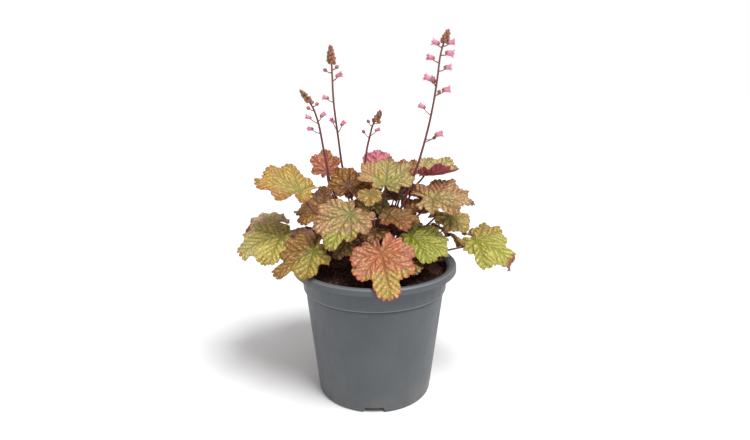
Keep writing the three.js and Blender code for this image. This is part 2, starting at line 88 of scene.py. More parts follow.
camera_data = bpy.data.cameras.new("camera")
camera_data.sensor_width = 36
camera_data.lens = lens_mm
camera = bpy.data.objects.new("camera", camera_data)
camera.location = eye
camera.rotation_euler = (math.radians(90 - look_down), 0, 0)
scene.collection.objects.link(camera)
scene.camera = camera
print("camera at", eye, "looking down", look_down, "degrees")

# %% [markdown]
# ## Studio
#
# Plain white surroundings light the leaves from all sides, and one wide soft sun gives them a
# light and a shadow side. The backdrop itself is pure white: the Light Path node tells a ray that
# comes straight from the camera from one that lights the plant, so the two can differ. The
# Standard view transform keeps white paper white and leaf colours as they are set. The floor is
# marked as stage, so that it isn't part of the object.

# %% Studio light and floor
scene.view_settings.view_transform = "Standard"

LIGHT_FROM_ALL_SIDES = 0.5
SUN_STRENGTH = 3.0
SUN_WIDTH_DEGREES = 28
SUN_DIRECTION = (-0.5, 0.55, -1.25)
FLOOR_HALF_WIDTH = 12
FLOOR_GREY = 0.95

world = bpy.data.worlds.new("studio")
world.use_nodes = True
sky_nodes, sky_links = world.node_tree.nodes, world.node_tree.links
sky_nodes["Background"].inputs["Color"].default_value = (1.0, 1.0, 1.0, 1.0)
from_camera = sky_nodes.new("ShaderNodeLightPath").outputs["Is Camera Ray"]
brightness = sky_nodes.new("ShaderNodeMapRange")
brightness.inputs["To Min"].default_value = LIGHT_FROM_ALL_SIDES
sky_links.new(from_camera, brightness.inputs["Value"])
sky_links.new(brightness.outputs["Result"], sky_nodes["Background"].inputs["Strength"])
scene.world = world

sun_data = bpy.data.lights.new("soft_sun", "SUN")
sun_data.energy = SUN_STRENGTH
sun_data.angle = math.radians(SUN_WIDTH_DEGREES)
sun = bpy.data.objects.new("soft_sun", sun_data)
sun.rotation_euler = Vector(SUN_DIRECTION).to_track_quat("-Z", "Y").to_euler()
scene.collection.objects.link(sun)

floor_bm = bmesh.new()
bmesh.ops.create_grid(floor_bm, x_segments=1, y_segments=1, size=FLOOR_HALF_WIDTH)
floor_mesh = bpy.data.meshes.new("floor")
floor_bm.to_mesh(floor_mesh)
floor_bm.free()
floor = bpy.data.objects.new("floor", floor_mesh)
scene.collection.objects.link(floor)
floor_paint = bpy.data.materials.new("floor_paper")
floor_paint.use_nodes = True
floor_shader = floor_paint.node_tree.nodes["Principled BSDF"]
floor_shader.inputs["Base Color"].default_value = (FLOOR_GREY, FLOOR_GREY, FLOOR_GREY, 1.0)
floor_shader.inputs["Roughness"].default_value = 0.9
floor_mesh.materials.append(floor_paint)
floor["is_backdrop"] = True

# %% [markdown]
# ## Helpers for shader nodes
#
# A finish is a tree of nodes. Small helpers keep each tree short: one adds a node and fills or
# links its sockets, and the others do arithmetic, ease a value between two limits, blend two
# colours, make noise, or start a node group or a material.

# %% Helpers for shader nodes
def tone(hexcode):
    """A colour written as six hex digits, as a linear colour for a shader."""
    parts = [int(hexcode[i:i + 2], 16) / 255 for i in (0, 2, 4)]
    return tuple(p / 12.92 if p <= 0.04045 else ((p + 0.055) / 1.055) ** 2.4
                 for p in parts) + (1.0,)


def add_node(tree, kind, inputs=(), **properties):
    """A new node. Values set its sockets, and output sockets are linked to them."""
    made = tree.nodes.new(kind)
    for key, value in properties.items():
        setattr(made, key, value)
    for key, value in dict(inputs).items():
        if isinstance(value, bpy.types.NodeSocket):
            tree.links.new(value, made.inputs[key])
        else:
            made.inputs[key].default_value = value
    return made


def calc(tree, operation, *values):
    """One step of arithmetic, as an output socket."""
    made = add_node(tree, "ShaderNodeMath", dict(enumerate(values)), operation=operation)
    return made.outputs[0]


def ease(tree, value, low, high, start=0.0, end=1.0):
    """Goes smoothly from start to end while value goes from low to high."""
    sockets = {"Value": value, "From Min": low, "From Max": high, "To Min": start, "To Max": end}
    made = add_node(tree, "ShaderNodeMapRange", sockets, interpolation_type="SMOOTHSTEP")
    return made.outputs["Result"]


def blend(tree, factor, first, second, mode="MIX"):
    """Two colours blended by a factor."""
    made = add_node(tree, "ShaderNodeMix", {0: factor, 6: first, 7: second},
                    data_type="RGBA", blend_type=mode)
    return made.outputs[2]


def noise(tree, vector, scale, detail=3.0, roughness=0.55):
    """Cloudy noise from 0 to 1."""
    sockets = {"Vector": vector, "Scale": scale, "Detail": detail, "Roughness": roughness}
    return add_node(tree, "ShaderNodeTexNoise", sockets).outputs["Fac"]


def new_group(name, inputs, outputs):
    """An empty node group with named sockets, and its two end nodes."""
    group = bpy.data.node_groups.new(name, "ShaderNodeTree")
    for label, kind in inputs:
        group.interface.new_socket(label, in_out="INPUT", socket_type="NodeSocket" + kind)
    for label, kind in outputs:
        group.interface.new_socket(label, in_out="OUTPUT", socket_type="NodeSocket" + kind)
    return group, group.nodes.new("NodeGroupInput"), group.nodes.new("NodeGroupOutput")


def new_material(name):
    """A material with only its Principled shader, and that shader."""
    material = bpy.data.materials.new(name)
    material.use_nodes = True
    return material, material.node_tree, material.node_tree.nodes["Principled BSDF"]


def object_place(tree):
    """Object coordinates, in metres, because each piece's object sits at the origin."""
    return add_node(tree, "ShaderNodeTexCoord").outputs["Object"]


def set_bump(tree, shader, height, distance, strength=1.0):
    """Raises the surface by a height from 0 to 1 times a distance in metres."""
    bump = add_node(tree, "ShaderNodeBump",
                    {"Height": height, "Distance": distance, "Strength": strength})
    tree.links.new(bump.outputs["Normal"], shader.inputs["Normal"])


print("helpers ready")

# %% [markdown]
# ## Vein net
#
# A heuchera blade is quilted. A main vein runs to each lobe, side veins leave it like ribs, and
# a fine net fills the fields between. Every blade uses this pattern, so it is a node group.
# It reads where a point lies on its blade: how far along the nearest main vein, how far off
# it, and the flat place before the blade was bent. It puts out masks for the veins and the
# net, and a relief that is low on the veins and high in the fields.

# %% Node group for the vein net
SIDE_VEIN_SPACING = 7.2
SIDE_VEIN_SLANT = 1.15
SIDE_VEIN_LEAN = 0.66
SIDE_VEIN_STRENGTH = 0.62
SIDE_VEIN_SWAY = 3.0
NET_SCALE = 0.25
NET_WANDER = 1.6

vein_net, given, result = new_group(
    "vein_net",
    [("Along", "Float"), ("Off", "Float"), ("Reach", "Float"), ("Flat", "Vector")],
    [("Veins", "Float"), ("Net", "Float"), ("Relief", "Float")])
along, off, reach, flat = (given.outputs[i] for i in range(4))
sway = calc(vein_net, "MULTIPLY_ADD", noise(vein_net, flat, 0.16, 2.0),
            SIDE_VEIN_SWAY, -SIDE_VEIN_SWAY / 2)
main_width = ease(vein_net, reach, 0.0, 1.0, 0.85, 0.3)
main_gap = calc(vein_net, "DIVIDE", off, main_width)
main_mask = ease(vein_net, main_gap, 0.3, 1.2, 1.0, 0.0)
slanted = calc(vein_net, "MULTIPLY_ADD", off, -SIDE_VEIN_SLANT, along)
phase = calc(vein_net, "DIVIDE", calc(vein_net, "ADD", slanted, sway), SIDE_VEIN_SPACING)
turn = calc(vein_net, "SUBTRACT", calc(vein_net, "FRACT", phase), 0.5)
side_gap = calc(vein_net, "MULTIPLY", calc(vein_net, "ABSOLUTE", turn),
                SIDE_VEIN_SPACING * SIDE_VEIN_LEAN)
side_mask = ease(vein_net, side_gap, 0.1, 0.65, 1.0, 0.0)
wander = add_node(vein_net, "ShaderNodeTexNoise", {"Vector": flat, "Scale": 0.45, "Detail": 2.0})
shifted = add_node(vein_net, "ShaderNodeVectorMath",
                   {0: wander.outputs["Color"], 1: (NET_WANDER, NET_WANDER, 0.0), 2: flat},
                   operation="MULTIPLY_ADD")
cells = add_node(vein_net, "ShaderNodeTexVoronoi",
                 {"Vector": shifted.outputs[0], "Scale": NET_SCALE},
                 voronoi_dimensions="2D", feature="DISTANCE_TO_EDGE")
cell_gap = cells.outputs["Distance"]
net_mask = ease(vein_net, cell_gap, 0.01, 0.13, 1.0, 0.0)
field = calc(vein_net, "MULTIPLY",
             ease(vein_net, off, 0.1, 2.2), ease(vein_net, side_gap, 0.1, 1.5))
relief = calc(vein_net, "MULTIPLY", ease(vein_net, cell_gap, 0.0, 0.4, 0.45, 1.0),
              calc(vein_net, "MULTIPLY_ADD", field, 0.75, 0.25))
both = calc(vein_net, "MAXIMUM",
            main_mask, calc(vein_net, "MULTIPLY", side_mask, SIDE_VEIN_STRENGTH))
vein_net.links.new(both, result.inputs["Veins"])
vein_net.links.new(net_mask, result.inputs["Net"])
vein_net.links.new(relief, result.inputs["Relief"])
print("vein net nodes:", len(vein_net.nodes))

# %% [markdown]
# ## Mottling
#
# Nothing that grew is one even colour. This small group gives a soft patchy mask with some fine
# grain in it, for leaves, stalks, bells, peat and the dusty pot alike.

# %% Node group for mottling
PATCH_SHARE = 0.65

mottling, given, result = new_group(
    "mottling", [("Place", "Vector"), ("Patch Scale", "Float"), ("Grain Scale", "Float")],
    [("Mask", "Float")])
patches = noise(mottling, given.outputs["Place"], given.outputs["Patch Scale"], 4.0)
grain = noise(mottling, given.outputs["Place"], given.outputs["Grain Scale"], 2.0)
mixed = calc(mottling, "MULTIPLY_ADD", grain, 1 - PATCH_SHARE,
             calc(mottling, "MULTIPLY", patches, PATCH_SHARE))
mottling.links.new(ease(mottling, mixed, 0.32, 0.68), result.inputs["Mask"])


def mottle(tree, place, patch_scale, grain_scale):
    """The mottling mask as an output socket."""
    made = add_node(tree, "ShaderNodeGroup", node_tree=mottling)
    tree.links.new(place, made.inputs["Place"])
    made.inputs["Patch Scale"].default_value = patch_scale
    made.inputs["Grain Scale"].default_value = grain_scale
    return made.outputs["Mask"]


print("mottling nodes:", len(mottling.nodes))

# %% [markdown]
# ## Leaf finishes
#
# The upper side of each blade goes from one colour near its stalk to another outside, with the
# net and the margin in warmer colours and the veins in a darker or greener one. On top of that,
# the raised fields get a painted highlight and the sunken veins painted shade. Two more masks
# are stored on the blade: a zone where the colour drifts, and a tip that has turned red. The
# underside is crimson, pink or rose with paler raised veins. Colours and masks differ from blade
# to blade, so each upper side is a material of its own, and three undersides are shared.

# %% Leaf finishes
# Painted highlight colour for the raised fields of the quilting.
PALE_FIELD = "e4cf94"
UPPER_RELIEF = 1.1 * MM
UNDER_RELIEF = 0.5 * MM


def leaf_coordinates(tree):
    """What is stored on every blade: the vein place, the flat place and the two tints."""
    vein = add_node(tree, "ShaderNodeAttribute", attribute_name="vein")
    spot = add_node(tree, "ShaderNodeAttribute", attribute_name="flat")
    tint = add_node(tree, "ShaderNodeAttribute", attribute_name="tint")
    vein_parts = add_node(tree, "ShaderNodeSeparateXYZ", {0: vein.outputs["Vector"]})
    tint_parts = add_node(tree, "ShaderNodeSeparateXYZ", {0: tint.outputs["Vector"]})
    net = add_node(tree, "ShaderNodeGroup", node_tree=vein_net)
    for label, socket in zip(("Along", "Off", "Reach"), vein_parts.outputs):
        tree.links.new(socket, net.inputs[label])
    tree.links.new(spot.outputs["Vector"], net.inputs["Flat"])
    return net, vein_parts.outputs[2], spot.outputs["Vector"], tint_parts.outputs


def leaf_upper(name, paint):
    """The finish of a blade's upper side."""
    material, tree, shader = new_material(name)
    net, reach, flat, tint = leaf_coordinates(tree)
    across = ease(tree, reach, 0.15, 0.85)
    colour = blend(tree, across, tone(paint["inner"]), tone(paint["outer"]))
    drift = calc(tree, "MULTIPLY_ADD", noise(tree, flat, 0.07), 0.5, -0.25)
    zone = ease(tree, calc(tree, "ADD", tint[0], drift), 0.25, 0.75)
    colour = blend(tree, zone, colour, tone(paint["zone"]))
    patch = mottle(tree, flat, 0.11, 0.9)
    tinge = ease(tree, noise(tree, flat, 0.055, 3.0, 0.6), 0.5, 0.72, 0.0, 0.55)
    colour = blend(tree, tinge, colour, tone(paint["margin"]))
    # Painted highlight: the raised fields of the quilting are blended towards a pale cream.
    pale = ease(tree, net.outputs["Relief"], 0.2, 1.1, 0.0, 0.25)
    colour = blend(tree, pale, colour, tone(PALE_FIELD))
    net_amount = calc(tree, "MULTIPLY", net.outputs["Net"],
                      calc(tree, "MULTIPLY_ADD", patch, 0.4, 0.2))
    colour = blend(tree, net_amount, colour, tone(paint["net"]))
    ragged = calc(tree, "MULTIPLY_ADD", noise(tree, flat, 0.35), 0.1, reach)
    margin = ease(tree, ragged, 1.08 - paint["margin_width"], 1.06, 0.0, 0.7)
    colour = blend(tree, margin, colour, tone(paint["margin"]))
    veins = calc(tree, "MULTIPLY", net.outputs["Veins"], ease(tree, reach, 0.3, 1.0, 0.72, 0.4))
    colour = blend(tree, veins, colour, tone(paint["vein"]))
    colour = blend(tree, tint[1], colour, tone(paint["tip"]))
    shade = ease(tree, patch, 0.0, 1.0, 0.7, 0.92)
    # Painted light and shade: the raised fields are made brighter and the sunken veins darker,
    # following the relief.
    lift = ease(tree, net.outputs["Relief"], 0.05, 0.95, 0.72, 1.17)
    toned = add_node(tree, "ShaderNodeHueSaturation",
                     {"Saturation": 1.12, "Value": calc(tree, "MULTIPLY", shade, lift),
                      "Color": colour})
    tree.links.new(toned.outputs["Color"], shader.inputs["Base Color"])
    tree.links.new(ease(tree, patch, 0.0, 1.0, 0.36, 0.56), shader.inputs["Roughness"])
    shader.inputs["Specular IOR Level"].default_value = 0.5
    set_bump(tree, shader, net.outputs["Relief"], UPPER_RELIEF)
    return material


def leaf_under(name, field_tone, net_tone, vein_tone):
    """The finish of a blade's underside, with its veins standing out."""
    material, tree, shader = new_material(name)
    net, reach, flat, _ = leaf_coordinates(tree)
    patch = mottle(tree, flat, 0.1, 0.8)
    colour = blend(tree, calc(tree, "MULTIPLY", net.outputs["Net"], 0.6),
                   tone(field_tone), tone(net_tone))
    veins = calc(tree, "MULTIPLY", net.outputs["Veins"], 0.8)
    colour = blend(tree, veins, colour, tone(vein_tone))
    shade = ease(tree, patch, 0.0, 1.0, 0.85, 1.1)
    toned = add_node(tree, "ShaderNodeHueSaturation", {"Value": shade, "Color": colour})
    tree.links.new(toned.outputs["Color"], shader.inputs["Base Color"])
    tree.links.new(ease(tree, reach, 0.0, 1.0, 0.6, 0.7), shader.inputs["Roughness"])
    shader.inputs["Specular IOR Level"].default_value = 0.3
    raised = calc(tree, "SUBTRACT", 1.0, net.outputs["Relief"])
    set_bump(tree, shader, raised, UNDER_RELIEF, 0.8)
    return material


UNDER = {
    "crimson": leaf_under("leaf_under_crimson", "a8505a", "8c3846", "c07a78"),
    "pink": leaf_under("leaf_under_pink", "ea8e9c", "d46a7c", "f2b0b2"),
    "rose": leaf_under("leaf_under_rose", "b87a70", "9a5a56", "c9a08c"),
}
print("undersides:", sorted(UNDER))

# %% [markdown]
# ## Leaf table
#
# The first table has an entry for each leaf seen from the front and for four large ones behind,
# with the same numbers as the construction model: where the stalk meets the blade, the heading
# of the middle vein, the dip of the tip, the lean about the middle vein, how far it droops along
# and folds across, its size, the azimuth and elevation at which its stalk leaves the crown, the
# lobes as angle and vein length, and points that its stalk passes through. Millimetres and
# degrees. The other leaves, behind and inside the mound, stand in rows around the crown, which
# a loop works out. The tables after that hold the colours: inner, outer, net, vein, margin and
# drift zone, then the tip, how the zone lies and which lobe curls.

# %% Leaf table
ROW_DROOP = 20
ROW_FOLD = 8


def even_lobes(length):
    """Seven lobes in the usual order of sizes, for a leaf with no lobes of its own."""
    half = ((48, 0.92), (96, 0.83), (142, 0.62))
    shares = [(-angle, share) for angle, share in reversed(half)] + [(0, 1), *half]
    return [(angle, share * length) for angle, share in shares]


def leaf_row(at, heading, dip, lean, droop, fold, size, root, lobes=None, via=None):
    """One leaf's shape as a dictionary."""
    return {"at": at, "heading": heading, "dip": dip, "lean": lean, "droop": droop, "fold": fold,
            "size": size, "root": root, "lobes": lobes or even_lobes(size), "via": via}


LEAVES = [
    leaf_row((-74, 0, 213), 205, -15, -20, 10, -15, 46, (190, 45),
             [(-135, 31), (-85, 44), (-45, 45), (-10, 47), (40, 40), (75, 28), (145, 15)],
             [(-38, -4, 165), (-60, -4, 191)]),
    leaf_row((-51, 40, 226), 100, -60, 0, -10, -30, 24, (140, 44),
             [(-140, 8), (-92, 14), (-46, 20), (0, 25), (44, 23), (92, 17), (140, 9)]),
    leaf_row((-95, -5, 166), -150, -5, -20, 50, 15, 44, (185, 20),
             [(-140, 26), (-98, 36), (-48, 41), (0, 47), (55, 41), (95, 26), (140, 16)]),
    leaf_row((-108, 28, 172), 185, -5, -15, 40, 15, 38, (162, 20),
             [(-140, 20), (-90, 30), (-50, 33), (0, 38), (48, 33), (95, 28), (140, 20)]),
    leaf_row((-59, -35, 161), -148, 20, -18, 15, 12, 44, (212, 20),
             [(-135, 25), (-102, 36), (-42, 34), (-3, 45), (45, 35), (97, 23), (152, 14)]),
    leaf_row((-23, -25, 195), -128, 25, -18, 35, 12, 42, (238, 58),
             [(-133, 27), (-90, 35), (-42, 39), (6, 44), (34, 32), (70, 28), (122, 24)]),
    leaf_row((-55, 34, 188), 175, 0, -30, 30, 0, 34, (162, 44),
             [(-126, 22), (-84, 32), (-45, 31), (-8, 31), (42, 33), (95, 28), (140, 22)]),
    leaf_row((-27, 15, 214), 90, -40, 8, 5, 5, 28, (155, 66),
             [(-138, 18), (-90, 24), (-36, 27), (0, 28), (40, 25), (92, 22), (138, 17)]),
    leaf_row((11, 10, 217), 90, -22, 4, -20, -45, 38, (60, 82),
             [(-146, 20), (-88, 31), (-46, 40), (-4, 42), (42, 37), (94, 30), (135, 18)]),
    leaf_row((3, 62, 225), -88, -100, 0, 10, -10, 23, (85, 44),
             [(-135, 14), (-88, 19), (-40, 22), (0, 22), (38, 22), (88, 19), (135, 14)]),
    leaf_row((34, 35, 220), 58, -45, 0, 0, 5, 28, (44, 68),
             [(-138, 8), (-92, 9), (-38, 15), (0, 25), (36, 28), (92, 22), (138, 16)],
             [(13, 12, 166), (23, 19, 198)]),
    leaf_row((53, 46, 221), -8, 2, -4, -25, -62, 34, (36, 42),
             [(-138, 6), (-95, 25), (-50, 36), (0, 39), (47, 41), (92, 36), (138, 16)],
             [(27, 28, 175), (43, 41, 209)]),
    leaf_row((59, 5, 203), -15, -2, 18, 10, -5, 44, (8, 42),
             [(-130, 22), (-85, 26), (-38, 37), (0, 44), (37, 40), (74, 43), (140, 32)],
             [(25, 5, 166), (45, 4, 187)]),
    leaf_row((79, 22, 180), -35, 23, 12, 15, 5, 24, (22, 20),
             [(-146, 17), (-100, 20), (-55, 22), (-3, 25), (55, 24), (100, 20), (145, 15)],
             [(40, 9, 158), (62, 13, 171)]),
    leaf_row((105, 0, 161), -27, 8, 20, 45, 5, 44, (0, 18),
             [(-138, 16), (-100, 24), (-58, 38), (-5, 52), (60, 36), (95, 34), (142, 25)],
             [(45, 0, 143), (78, 0, 151)]),
    leaf_row((36, -20, 171), -15, 12, 15, 30, 10, 44, (332, 34),
             [(-135, 14), (-85, 32), (-45, 38), (2, 42), (40, 41), (85, 35), (135, 22)]),
    leaf_row((6, -50, 163), -85, 28, 5, 12, 15, 46, (278, 22),
             [(-148, 24), (-84, 30), (-42, 36), (4, 52), (43, 38), (86, 32), (147, 27)]),
    leaf_row((13, -10, 190), -15, 2, 12, 15, 14, 34, (332, 62),
             [(-138, 12), (-90, 20), (-42, 32), (0, 33), (48, 31), (88, 24), (138, 14)]),
    leaf_row((-5, -14, 213), -90, 30, 0, 20, 0, 17, (240, 84),
             [(-135, 10), (-92, 13), (-52, 14), (0, 17), (46, 15), (92, 13), (135, 10)]),
    leaf_row((21, 33, 201), 60, -27, 15, 10, 5, 28, (68, 64),
             [(-138, 10), (-90, 14), (-44, 16), (0, 21), (46, 20), (90, 15), (138, 12)]),
    leaf_row((0, -22, 176), -92, 12, 2, 20, 5, 18, (272, 58),
             [(-138, 11), (-92, 15), (-50, 17), (0, 18), (50, 17), (92, 15), (138, 11)]),
    leaf_row((-25, -22, 168), -138, 34, 0, 18, 15, 24, (243, 32),
             [(-138, 14), (-92, 19), (-46, 22), (0, 24), (46, 21), (92, 14), (138, 11)]),
    leaf_row((-52, 66, 182), 132, 10, 5, 30, 15, 44, (128, 20)),
    leaf_row((-8, 82, 174), 95, 14, -4, 35, 15, 46, (98, 20)),
    leaf_row((34, 74, 188), 58, 8, 6, 30, 12, 42, (68, 22)),
    leaf_row((72, 58, 176), 28, 12, 4, 30, 15, 42, (45, 18)),
]


def leaves_in_row(azimuths, distance, height, dip, lean, size, rise):
    """Leaves around the crown that differ only in their azimuth."""
    turns = [math.radians(azimuth) for azimuth in azimuths]
    places = [(distance * math.cos(turn), distance * math.sin(turn), height) for turn in turns]
    return [leaf_row(place, azimuth, dip, lean, ROW_DROOP, ROW_FOLD, size, (azimuth, rise))
            for place, azimuth in zip(places, azimuths)]


# In each row: the azimuths, then distance, height, dip, lean, size, and rise from the crown.
LEAVES += leaves_in_row((30, 57, 84, 111, 138), 95, 155, 27, 12, 36, 14)
LEAVES += leaves_in_row((60, 105), 74, 207, 28, 9, 36, 31)
LEAVES += leaves_in_row((264, 304, 344), 52, 152, 10, 0, 20, 35)
LEAVES += leaves_in_row((20, 70), 38, 162, -50, 0, 20, 40)
LEAVES += leaves_in_row((114, 174), 36, 180, -50, 0, 22, 52)
LEAVES += leaves_in_row((60,), 32, 178, -50, 0, 18, 56)
LEAVES += leaves_in_row((20,), 38, 188, -50, 0, 20, 56)
LEAVES += leaves_in_row((95,), 20, 194, -50, 0, 22, 75)


def look(inner, outer, net, vein, margin, zone, tip="a8584c", toward=0, zone_from=2.0,
         curl=None, under="rose", margin_width=0.12):
    """One leaf's colours, where its drift zone starts, and its curled lobe if it has one."""
    return dict(locals())


LOOKS = [
    look("c8bc70", "d0aa68", "ac844e", "94904a", "b06c40", "c09062", toward=60, zone_from=0.4),
    look("e09c80", "d89074", "b06a56", "945044", "ce7a62", "ce8a6c", under="crimson"),
    look("c2b664", "ccbe70", "a49250", "94924a", "ae8052", "d0c286", toward=-20, zone_from=0.6),
    # Leaf 4 is painted light: its colours are raised so that, turned away from the sun, it still
    # looks lit.
    look("f0d8a2", "f2dcac", "ceb08c", "ccb87c", "cc8c6c", "ecc8a8", toward=0, zone_from=0.3,
         tip="a5584e", curl=(0, 0.62, 40)),
    look("a09a4c", "b09c54", "8c7038", "7c7c3c", "9a6440", "a4784a", toward=-70, zone_from=0.1),
    look("bcac74", "c8a07a", "9c6e50", "787a46", "aa6450", "b8ba60", toward=30, zone_from=0.55),
    look("b07c46", "b48450", "8c5a34", "8a6434", "9a5a3a", "b88a64", toward=-60, zone_from=0.1),
    look("7e4a1c", "8e5a28", "5c3214", "623a1a", "92541e", "98622c", toward=60, zone_from=0.3),
    look("b4b068", "c8b47e", "a88654", "848e48", "b07650", "cca078", toward=75, zone_from=0.45),
    look("fa96a8", "fca8b4", "e47488", "fcbac4", "e86e8a", "f69ca8", under="pink"),
    look("bc9460", "c89a6c", "a0704a", "a48450", "c86c44", "cc8c68", toward=-30, zone_from=0.2),
    look("cabb84", "d0c08c", "b09a62", "a8a864", "c08a58", "bcac70", under="crimson"),
    look("bcaa74", "d0b084", "a47856", "8a8048", "b07058", "bc9070", toward=90, zone_from=0.3,
         tip="8a5038", curl=(0, 0.8, 50)),
    look("a89e50", "c0a868", "8c783c", "7c8040", "b87c5c", "c49c70"),
    look("bab658", "c4c06a", "a09848", "a4a44e", "b09450", "c0a060", toward=140, zone_from=0.1,
         tip="9c5448", curl=(-5, 0.66, 60), margin_width=0.08),
    look("98983c", "a8ac50", "7c7c34", "74803a", "b09a54", "b4b45c", toward=30, zone_from=0.5),
    look("cc8864", "d4947c", "b8705c", "b8785a", "d4665c", "c4b068", toward=4, zone_from=0.5,
         under="pink"),
    look("907040", "966c42", "704c2a", "66502c", "94503c", "a46a4c", toward=-80, zone_from=0.35),
    look("b29a58", "b8965e", "907044", "98884a", "a87048", "b8966a"),
    # Leaf 20 is painted dark as painted shade, for the shade it lies in under the leaves above it.
    look("5a3c18", "644420", "462a10", "56401a", "8c4636", "8a4434", toward=60, zone_from=0.4),
    look("704c2c", "86603c", "56341c", "6c4c28", "94603c", "805a38"),
    look("8a7034", "8e7238", "6c5026", "76642c", "98645c", "8a6a44"),
]
# The leaves that the front ones hide come from five families of colour. The shaded family is
# darkened as painted shade, for the leaves deep inside the mound.
FAMILIES = {
    "straw": look("bcaa66", "b8a466", "947648", "968a48", "a8744c", "b89466", toward=-40,
                  zone_from=0.3),
    "olive": look("a09a50", "aca45c", "84763e", "80803a", "a07c4c", "b0985e", toward=60,
                  zone_from=0.4),
    "amber": look("b08c54", "b4905a", "8c6440", "8c7440", "a8643e", "b49a60", toward=-60,
                  zone_from=0.3),
    "russet": look("9c6c44", "a8744c", "7a4a30", "7c5834", "a85c40", "b0885a", toward=30,
                   zone_from=0.2),
    "shaded": look("7c6a34", "86703a", "604c26", "6a5e2c", "8c5c44", "80683e"),
}
BEHIND = ["straw", "olive", "amber", "olive", "amber", "straw", "russet", "olive", "amber",
          "straw", "amber", "olive", "shaded", "shaded", "shaded", "russet", "shaded", "russet",
          "shaded", "russet", "olive"]
LOOKS += [FAMILIES[family] for family in BEHIND]
print("leaves:", len(LEAVES), "looks:", len(LOOKS))

# %% [markdown]
# ## Outline of a blade
#
# Seen from above, a blade is a fan of rounded lobes around the end of its stalk. The radius in
# each direction comes from the nearest lobe: full length at the tip, and the notch between two
# lobes at its ends. Small round teeth are then cut in along the rim. Behind the stalk the rim
# runs in to a narrow cleft.

# %% Outline of a blade
LOBE_FULLNESS = 2.6
CURLED_FULLNESS = 1.15
NOTCH_DEPTH = 0.9
OUTER_NOTCH_DEPTH = 0.6
OUTER_LOBE_SPREAD = 22.0
CLEFT_RADIUS = 2.4
TOOTH_LENGTH = 7.0
TOOTH_DEPTH = 0.075
TOOTH_ROUNDNESS = 3.2
LOBE_SIDE_STRETCH = 1.3


def lobe_of(leaf, theta):
    """For each direction, what it needs to know of its lobe.

    The share goes from 0 on the lobe's vein to 1 at its notch, and on behind an outer lobe.
    """
    angles = np.array([a for a, _ in leaf["lobes"]], float)
    lengths = np.array([b for _, b in leaf["lobes"]], float)
    middles = (angles[:-1] + angles[1:]) / 2
    which = np.searchsorted(middles, theta)
    low_side = np.concatenate([[angles[0] - OUTER_LOBE_SPREAD], middles])
    high_side = np.concatenate([middles, [angles[-1] + OUTER_LOBE_SPREAD]])
    notches = NOTCH_DEPTH * np.minimum(lengths[:-1], lengths[1:])
    low_notch = np.concatenate([[lengths[0] * OUTER_NOTCH_DEPTH], notches])
    high_notch = np.concatenate([notches, [lengths[-1] * OUTER_NOTCH_DEPTH]])
    past = theta - angles[which]
    up = past >= 0
    spread = np.where(up, high_side[which] - angles[which], angles[which] - low_side[which])
    notch = np.where(up, high_notch[which], low_notch[which])
    return {"number": which, "share": np.abs(past) / spread, "length": lengths[which],
            "notch": notch, "angle": angles[which], "spread": spread}


def outline(leaf, theta):
    """The blade's radius in each direction, in millimetres, teeth included."""
    lobe = lobe_of(leaf, theta)
    share, length, notch = lobe["share"], lobe["length"], lobe["notch"]
    angle, spread = lobe["angle"], lobe["spread"]
    inside = np.minimum(share, 1.0)
    fullness = np.where(angle == leaf["curled"], CURLED_FULLNESS, LOBE_FULLNESS)
    radius = notch + (length - notch) * (1 - inside ** fullness)
    side_length = length * np.radians(spread) * LOBE_SIDE_STRETCH
    teeth = np.maximum(2, np.round(side_length / TOOTH_LENGTH))
    count = inside * teeth + 0.5 + 0.12 * np.sin(lobe["number"] * 2.3 + angle)
    cut = np.abs(2 * (count % 1.0) - 1) ** TOOTH_ROUNDNESS
    uneven = 1 + 0.3 * np.sin(np.floor(count) * 2.7 + angle * 1.3)
    radius = radius - TOOTH_DEPTH * length * uneven * cut * (1 - 0.4 * inside) * (share < 1.0)
    to_cleft = (180 - np.abs(theta)) / np.maximum(180 - np.abs(angle) - spread, 1.0)
    behind = CLEFT_RADIUS + (notch - CLEFT_RADIUS) * np.clip(to_cleft, 0, 1)
    return np.where(share > 1.0, behind, radius)


def vein_length(leaf, angle):
    """The blade's radius in one direction."""
    return float(outline(leaf, np.array([float(angle)]))[0])


for leaf, paint in zip(LEAVES, LOOKS):
    leaf["curled"] = paint["curl"][0] if paint["curl"] else None
rim_test = outline(LEAVES[0], np.linspace(-180, 180, 721))
print("first blade's radius, least and most:", rim_test.min().round(1), rim_test.max().round(1))

# %% [markdown]
# ## A flat blade
#
# The flat blade is a grid whose columns fan out from the stalk. Columns are spaced evenly along
# the rim, so that teeth and lobe sides get enough of them, and one column lies on each main
# vein. The grid's two sides meet behind the stalk and are merged, normals are recalculated, and
# then the sheet gets its thickness. The faces that look down get the underside's material.

# %% A flat blade
COLUMN_SPACING = 1.3
RING_SPACING = 1.65
RING_CROWDING = 0.9
RIM_SAMPLES = 5001
BLADE_THICKNESS = 0.45
BLADE_UPPER, BLADE_UNDER, STALK = range(3)


def fan_directions(leaf):
    """Directions of the columns in degrees, even along the rim, one on each main vein."""
    fine = np.linspace(-180, 180, RIM_SAMPLES)
    radius = outline(leaf, fine)
    x, y = -radius * np.sin(np.radians(fine)), radius * np.cos(np.radians(fine))
    length = np.concatenate([[0], np.cumsum(np.hypot(np.diff(x), np.diff(y)))])
    count = int(length[-1] / COLUMN_SPACING)
    theta = np.interp(np.linspace(0, length[-1], count + 1), length, fine)
    for angle, _ in leaf["lobes"]:
        theta[np.abs(theta - angle).argmin()] = angle
    return theta


